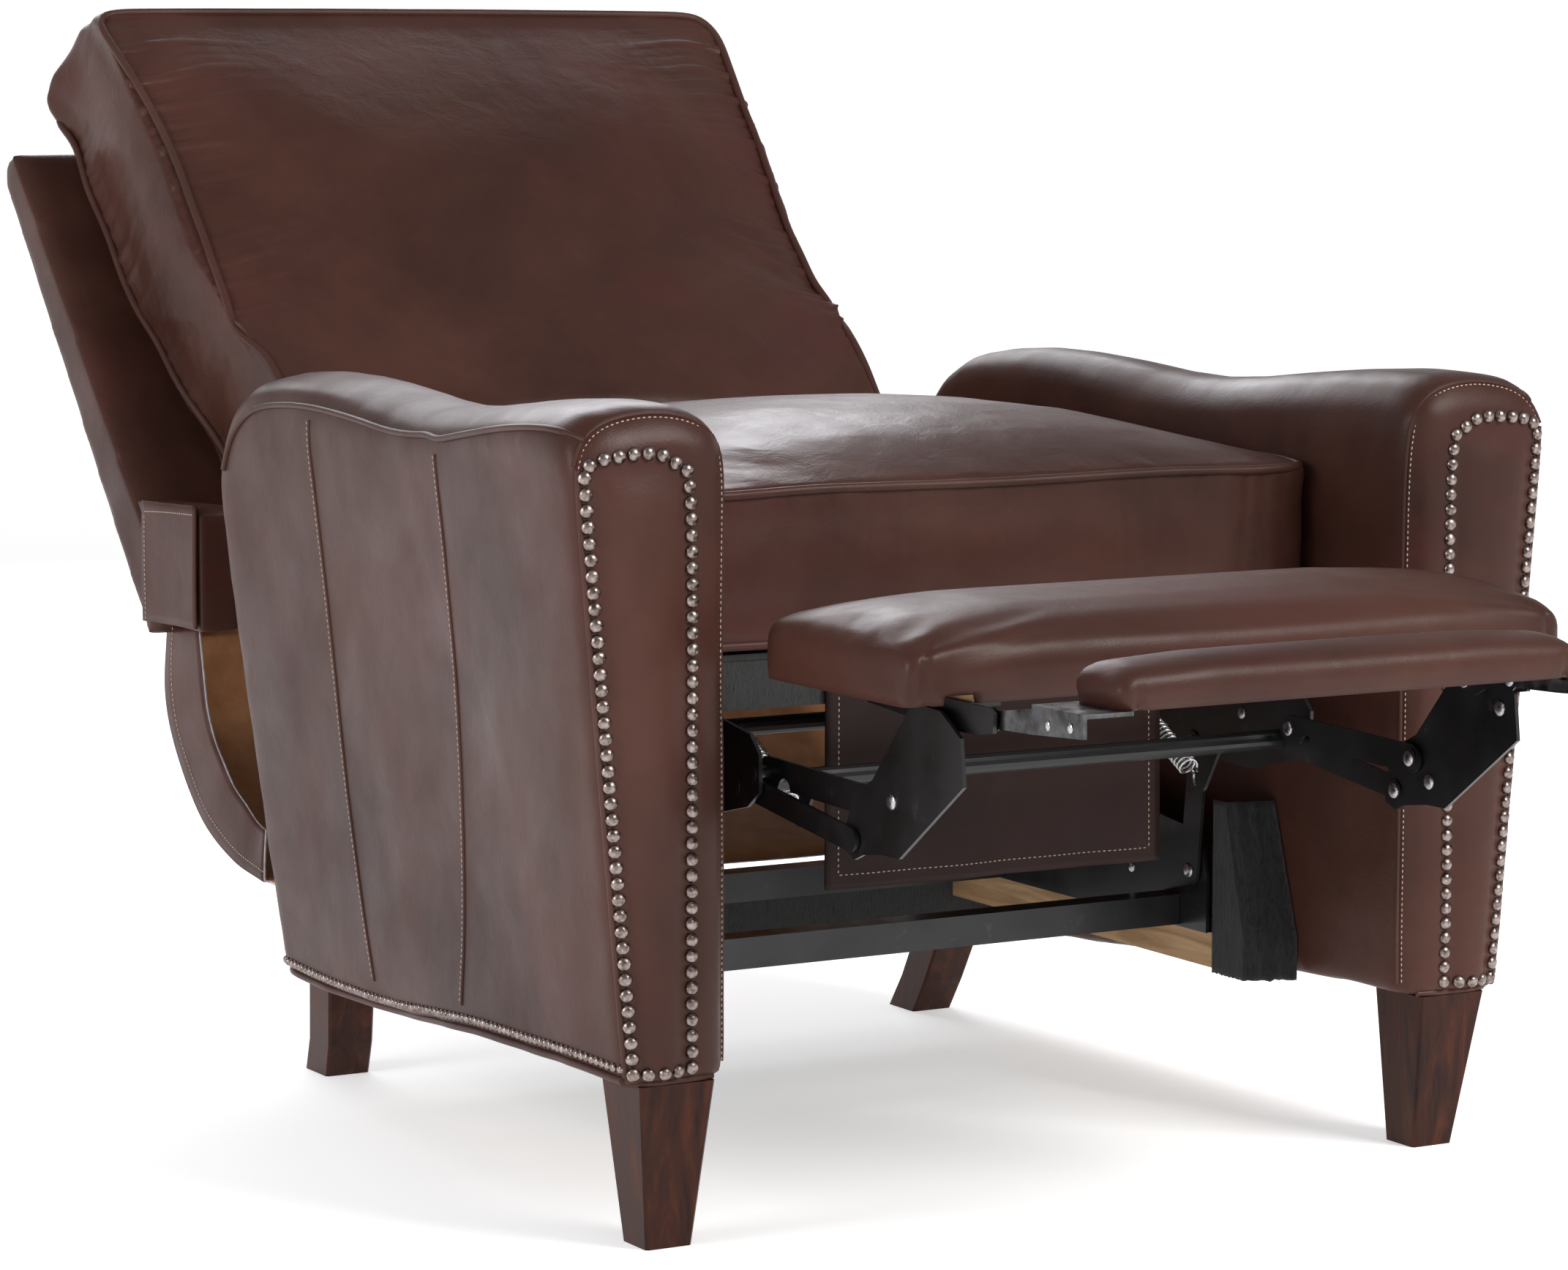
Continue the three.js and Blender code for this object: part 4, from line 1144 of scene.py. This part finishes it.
# ---- front flap --------------------------------------------------------------------------------------------
FRONT_FLAP_TOP, FRONT_FLAP_HEM = 409, 232
# the flap's border rows, as (x, z): down the left side, along the hem and up the right side
FRONT_FLAP_ROWS = (
    (0, [(-141, 400), (-141, 300), (-141, 243)]),
    (2, [(-141, 243), (-60, 243), (60, 243), (141, 243)]),
    (5, [(141, 243), (141, 300), (141, 400)]),
)


def front_flap():
    rows = []
    for z in np.linspace(FRONT_FLAP_HEM, FRONT_FLAP_TOP, 40):
        hang = (FRONT_FLAP_TOP - z) / (FRONT_FLAP_TOP - FRONT_FLAP_HEM)
        row = []
        for x in np.linspace(-152, 152, 48):
            sway = 1.6 * math.sin(x * 0.035) + 1.1 * math.sin(x * 0.08 + 1) - 1.4
            row.append(at(x, 107.6 + hang * sway, z))
        rows.append(row)
    # the outer face takes the darkened leather, painted shade standing in for the shadow under the pads
    finishes = (leather_painted_shade, suede, cut_edge)
    flap = grid_sheet("front_flap_leather", rows, 2.0, finishes, inside=1, offset=0)
    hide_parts("seat_front_flap")
    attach(flap, "seat")
    tree = surface(flap)
    stitches = []
    for number, corners in FRONT_FLAP_ROWS:
        line = smooth_path(corners, 4)
        places, outs = cast(tree, [at(x, 106, z) for x, z in line], [(0, -1, 0)] * len(line), 20, 0.1)
        stitches.append(stitch_row(f"front_flap_stitch_{number}", places, outs, 4.6))
    trimmed(stitches, "seat")


front_flap()


# ---- rear apron --------------------------------------------------------------------------------------------
# the apron seen from the side, as (y, z): its middle, and the outer and inner edges of its side strips
APRON_CENTRE = [
    (933.5, 374), (925, 352), (929, 305), (905, 255), (850, 203), (783, 176), (716, 165), (695, 150),
]
APRON_OUTER = [(922, 366), (929, 305), (905, 255), (850, 203), (783, 176), (716, 166)]
APRON_INNER = [(856, 370), (846, 322), (838, 296), (818, 268), (790, 244), (752, 224), (716, 210)]


def thinned(path, count):
    return path[np.linspace(0, len(path) - 1, count).round().astype(int)]


def apron_main():
    rows = []
    for k, (y, z) in enumerate(smooth_path(APRON_CENTRE, 12)):
        half = 350 if z > 166 else 350 - (166 - z) * 3.2
        row = []
        for x in np.linspace(-half, half, 60):
            ripple = 1.4 * math.sin(x * 0.03 + k * 0.3) + 1.0 * math.sin(x * 0.011 - k * 0.2)
            row.append(at(x, y + ripple * 0.6, z - ripple * 0.4))
        rows.append(row)
    main = grid_sheet("rear_apron_leather", rows, 2.2, (leather, suede, cut_edge), rim=2, inside=1, offset=0)
    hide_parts("rear_apron")
    return main


def apron_side(side, name, outer, inner):
    """A strip of the apron's side, slack along its free edge, and its row of stitches."""
    rows = []
    for k, (o, i) in enumerate(zip(outer, inner)):
        wave = 3.0 * math.sin(k * 0.62) + 2.2 * math.sin(k * 0.29 + 1)
        row = []
        for t in np.linspace(0, 1, 9):
            y, z = o + (i - o) * t
            out = 351.2 - 2.2 * t * t + wave * 0.35 * t
            row.append(at(side * out, y - wave * t * 0.7, z + wave * t * 0.5))
        rows.append(row if side > 0 else row[::-1])
    finishes = (leather, suede, cut_edge)
    gusset = grid_sheet(f"apron_side_{name}", rows, 2.2, finishes, rim=2, inside=1, offset=0)
    line = [o + (i - o) * 0.2 for o, i in zip(outer, inner)]
    start = [at(side * 352, y, z) for y, z in line]
    places, outs = cast(surface(gusset), start, [(side, 0, 0)] * len(line), 20, 0.1)
    stitches = stitch_row(f"apron_stitch_{name}", places, outs, 4.6)
    return gusset, stitches


def rear_apron():
    main = apron_main()
    outer = smooth_path(APRON_OUTER, 8)
    inner = smooth_path(APRON_INNER, 8)
    inner = smooth_path(inner, max(1, 8 * len(inner) / len(outer)))
    count = min(len(outer), len(inner))
    outer, inner = thinned(outer, count), thinned(inner, count)
    gussets, stitches = zip(*[apron_side(side, name, outer, inner) for side, name in SIDES])
    for piece in (main, *gussets, *stitches):
        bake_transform(piece)


rear_apron()


# ---- dust cloth on the arms' inner faces -------------------------------------------------------------------
CLOTH_FOOT = 118
CLOTH_X = 260.5


def dust_cloth(side, name):
    """A strip that hangs beside the base plate and slants out to the arm in front."""
    rows = []
    for z in np.linspace(CLOTH_FOOT, 261, 30):
        up = max(0, (z - 152) / 109)
        edge, end = 142 + 28 * up, 124 + 34 * up
        run = [(CLOTH_X, y) for y in np.linspace(187, edge, 26)]
        run += [(CLOTH_X + 40 * t, edge + (end - edge) * t) for t in np.linspace(0.08, 1, 12)]
        row = []
        for k, (x, y) in enumerate(run):
            crumple = noise.noise(Vector((y * 0.08, z * 0.05, side * 3)))
            slack = np.clip((k - 18) / 8, 0, 1)
            fold = noise.noise(Vector((k * 0.45, z * 0.012, side * 5))) * slack * (k < 37)
            lower = max(0, (140 - z) / 22) * 2.5 * noise.noise(Vector((k * 0.7, 1, side)))
            row.append(at(side * (x + 0.35 * crumple - 1.2 * abs(fold) * (k > 26)), y - 3 * fold, z + lower))
        rows.append(row if side < 0 else row[::-1])
    cloth = grid_sheet(f"dust_cloth_{name}", rows, 0.8, (cambric,), offset=0)
    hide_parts(f"cambric_strip_{name}")
    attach(cloth, "base")


for side, name in SIDES:
    dust_cloth(side, name)


# ---- springs -----------------------------------------------------------------------------------------------
SPRING_X = 183
# where the wound part starts and ends, in metres from the front hook's hole
COIL_STARTS, COIL_ENDS = 0.02, 0.094
COIL_SIZES = {"Turns": 17.0, "Radius": 0.0074, "Length": COIL_ENDS - COIL_STARTS, "Wire": 0.00125}


def spring_hook(name, end, away, across):
    """A loop of wire that leaves the coil's end and turns back on itself."""
    loop = [end + away * 0.001, end + away * 0.008]
    for a in np.linspace(0.3, 5.4, 14):
        loop.append(end + away * (0.014 - 0.006 * math.cos(a)) + across * 0.006 * math.sin(a))
    return tube(name, loop, 1.25, spring_wire)


def spring(side, name):
    front = at(side * SPRING_X, 92, 293)
    rear = at(side * SPRING_X, 192, 350)
    run = (rear - front).normalized()
    across = run.cross(Vector((1, 0, 0))).normalized()
    seed = bpy.data.meshes.new(f"coil_{name}")
    coil = grown(f"spring_coil_{name}", spring_tree, seed, COIL_SIZES, spring_wire)
    turn = Vector((0, 0, 1)).rotation_difference(run).to_matrix().to_4x4()
    coil.data.transform(Matrix.Translation(front + run * COIL_STARTS) @ turn)
    hooks = [
        spring_hook(f"spring_hook_{name}_front", front + run * COIL_STARTS, -run, across),
        spring_hook(f"spring_hook_{name}_rear", front + run * COIL_ENDS, run, across),
    ]
    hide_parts(f"spring_{name}")
    for piece in [coil] + hooks:
        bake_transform(piece)


for side, name in SIDES:
    spring(side, name)


# ---- rivet heads -------------------------------------------------------------------------------------------
def rivets(name, body, heads, across_mm=12.5, high_mm=3.6):
    """The same rivets on both sides; heads: (x of the surface, y, z, which way it faces along x)."""
    places, outs = [], []
    for side, _ in SIDES:
        for x, y, z, way in heads:
            places.append(at(side * (x + 0.2 * way), y, z))
            outs.append(Vector((side * way, 0, 0)))
    trimmed([round_heads(name, rivet_tree, zinc, places, outs, across_mm, high_mm)], body)


rivets("drive_link_rivets", "drive_links", [(237.1, -88, 306, -1)])
rivets("pad_pivot_rivets", "front_plates", [(227.5, -185, 404, -1)], 15, 1.1)
front_plate_heads = [(238.6, -215, 384, -1), (238.6, -130, 318, -1), (241.6, -140, 340, 1)]
rivets("front_plate_rivets", "front_plates", front_plate_heads)
rivets("guide_link_rivets", "guide_links", [(232.6, -112, 334, -1), (233.8, 47.3, 338.2, -1)])
rivets("pad_bracket_rivets", "footrest", [(222.0, -247, 410, -1)], 11, 3.2)
rivets("flipper_bracket_rivets", "flipper", [(226.5, -320, 414.5, 1), (226.5, -348, 416, 1)], 8, 2.6)
rivets("front_swing_rivets", "front_swing_links", [(251.7, 210, 200, -1), (245.9, 198, 309, -1)])
rivets("rear_swing_rivets", "rear_swing_links", [(251.7, 560, 235, -1), (245.9, 548, 344, -1)])
rivets("base_plate_rivets", "base", [(256, 300, 190, -1), (256, 330, 230, -1), (256, 470, 240, -1)], 10, 3)
seat_plate_heads = [(247.4, 130, 340, -1), (247.4, 330, 345, -1), (247.4, 480, 350, -1)]
rivets("seat_plate_rivets", "seat", seat_plate_heads, 10, 3)


# ---- finishes of the pieces kept from the frame ------------------------------------------------------------
KEPT = {
    leg_wood: ["front_leg_left", "front_leg_right", "rear_leg_left", "rear_leg_right"],
    rail_wood_along: [f"{part}_side_rail_{name}" for part in ("base", "seat") for _, name in SIDES],
    rail_wood_across: ["seat_rear_rail", "pad_board", "flipper_board"],
    deck_cloth: ["seat_deck", "seat_front_rail", "base_rear_rail"],
}
for material, names in KEPT.items():
    for n in names:
        nodes[n].material_slots[0].material = material
for n, obj in nodes.items():
    if any(part in n for part in ("plate", "link", "bracket", "tube", "cross_bar")):
        obj.material_slots[0].material = worn_steel if n.startswith("flipper_bracket") else black_paint


# ---- floor -------------------------------------------------------------------------------------------------
FLOOR_RADIUS = 45
FLOOR_SIDES = 96


def studio_floor():
    """A wide white disc that glows more with distance, so that it meets the sky without a line."""
    turns = np.linspace(0, 2 * math.pi, FLOOR_SIDES, endpoint=False)
    rim = [(FLOOR_RADIUS * math.cos(a), FLOOR_RADIUS * math.sin(a), 0) for a in turns]
    slices = [(0, k + 1, (k + 1) % FLOOR_SIDES + 1) for k in range(FLOOR_SIDES)]
    mesh = bpy.data.meshes.new("studio_floor")
    mesh.from_pydata([(0, 0, 0)] + rim, [], slices)
    f = Finish("studio_white")
    away = f.tree.nodes.new("ShaderNodeVectorMath")
    away.operation = "LENGTH"
    f.link(f.point, away.inputs[0])
    reach = f.span(away.outputs["Value"], 0, 1, 2.2, 7.5)
    f.link(f.ramp(reach, (0, (0.66, 0.66, 0.66)), (1, (1, 1, 1))), f.shader.inputs["Emission Color"])
    paper = f.ramp(f.noise(0.8, 2), (0.3, (0.9, 0.9, 0.9)), (0.7, (0.93, 0.93, 0.93)))
    return linked("studio_floor", mesh, f.finish(paper, 0.9, Emission_Strength=0.74, Specular_IOR_Level=0.1))


studio_floor()
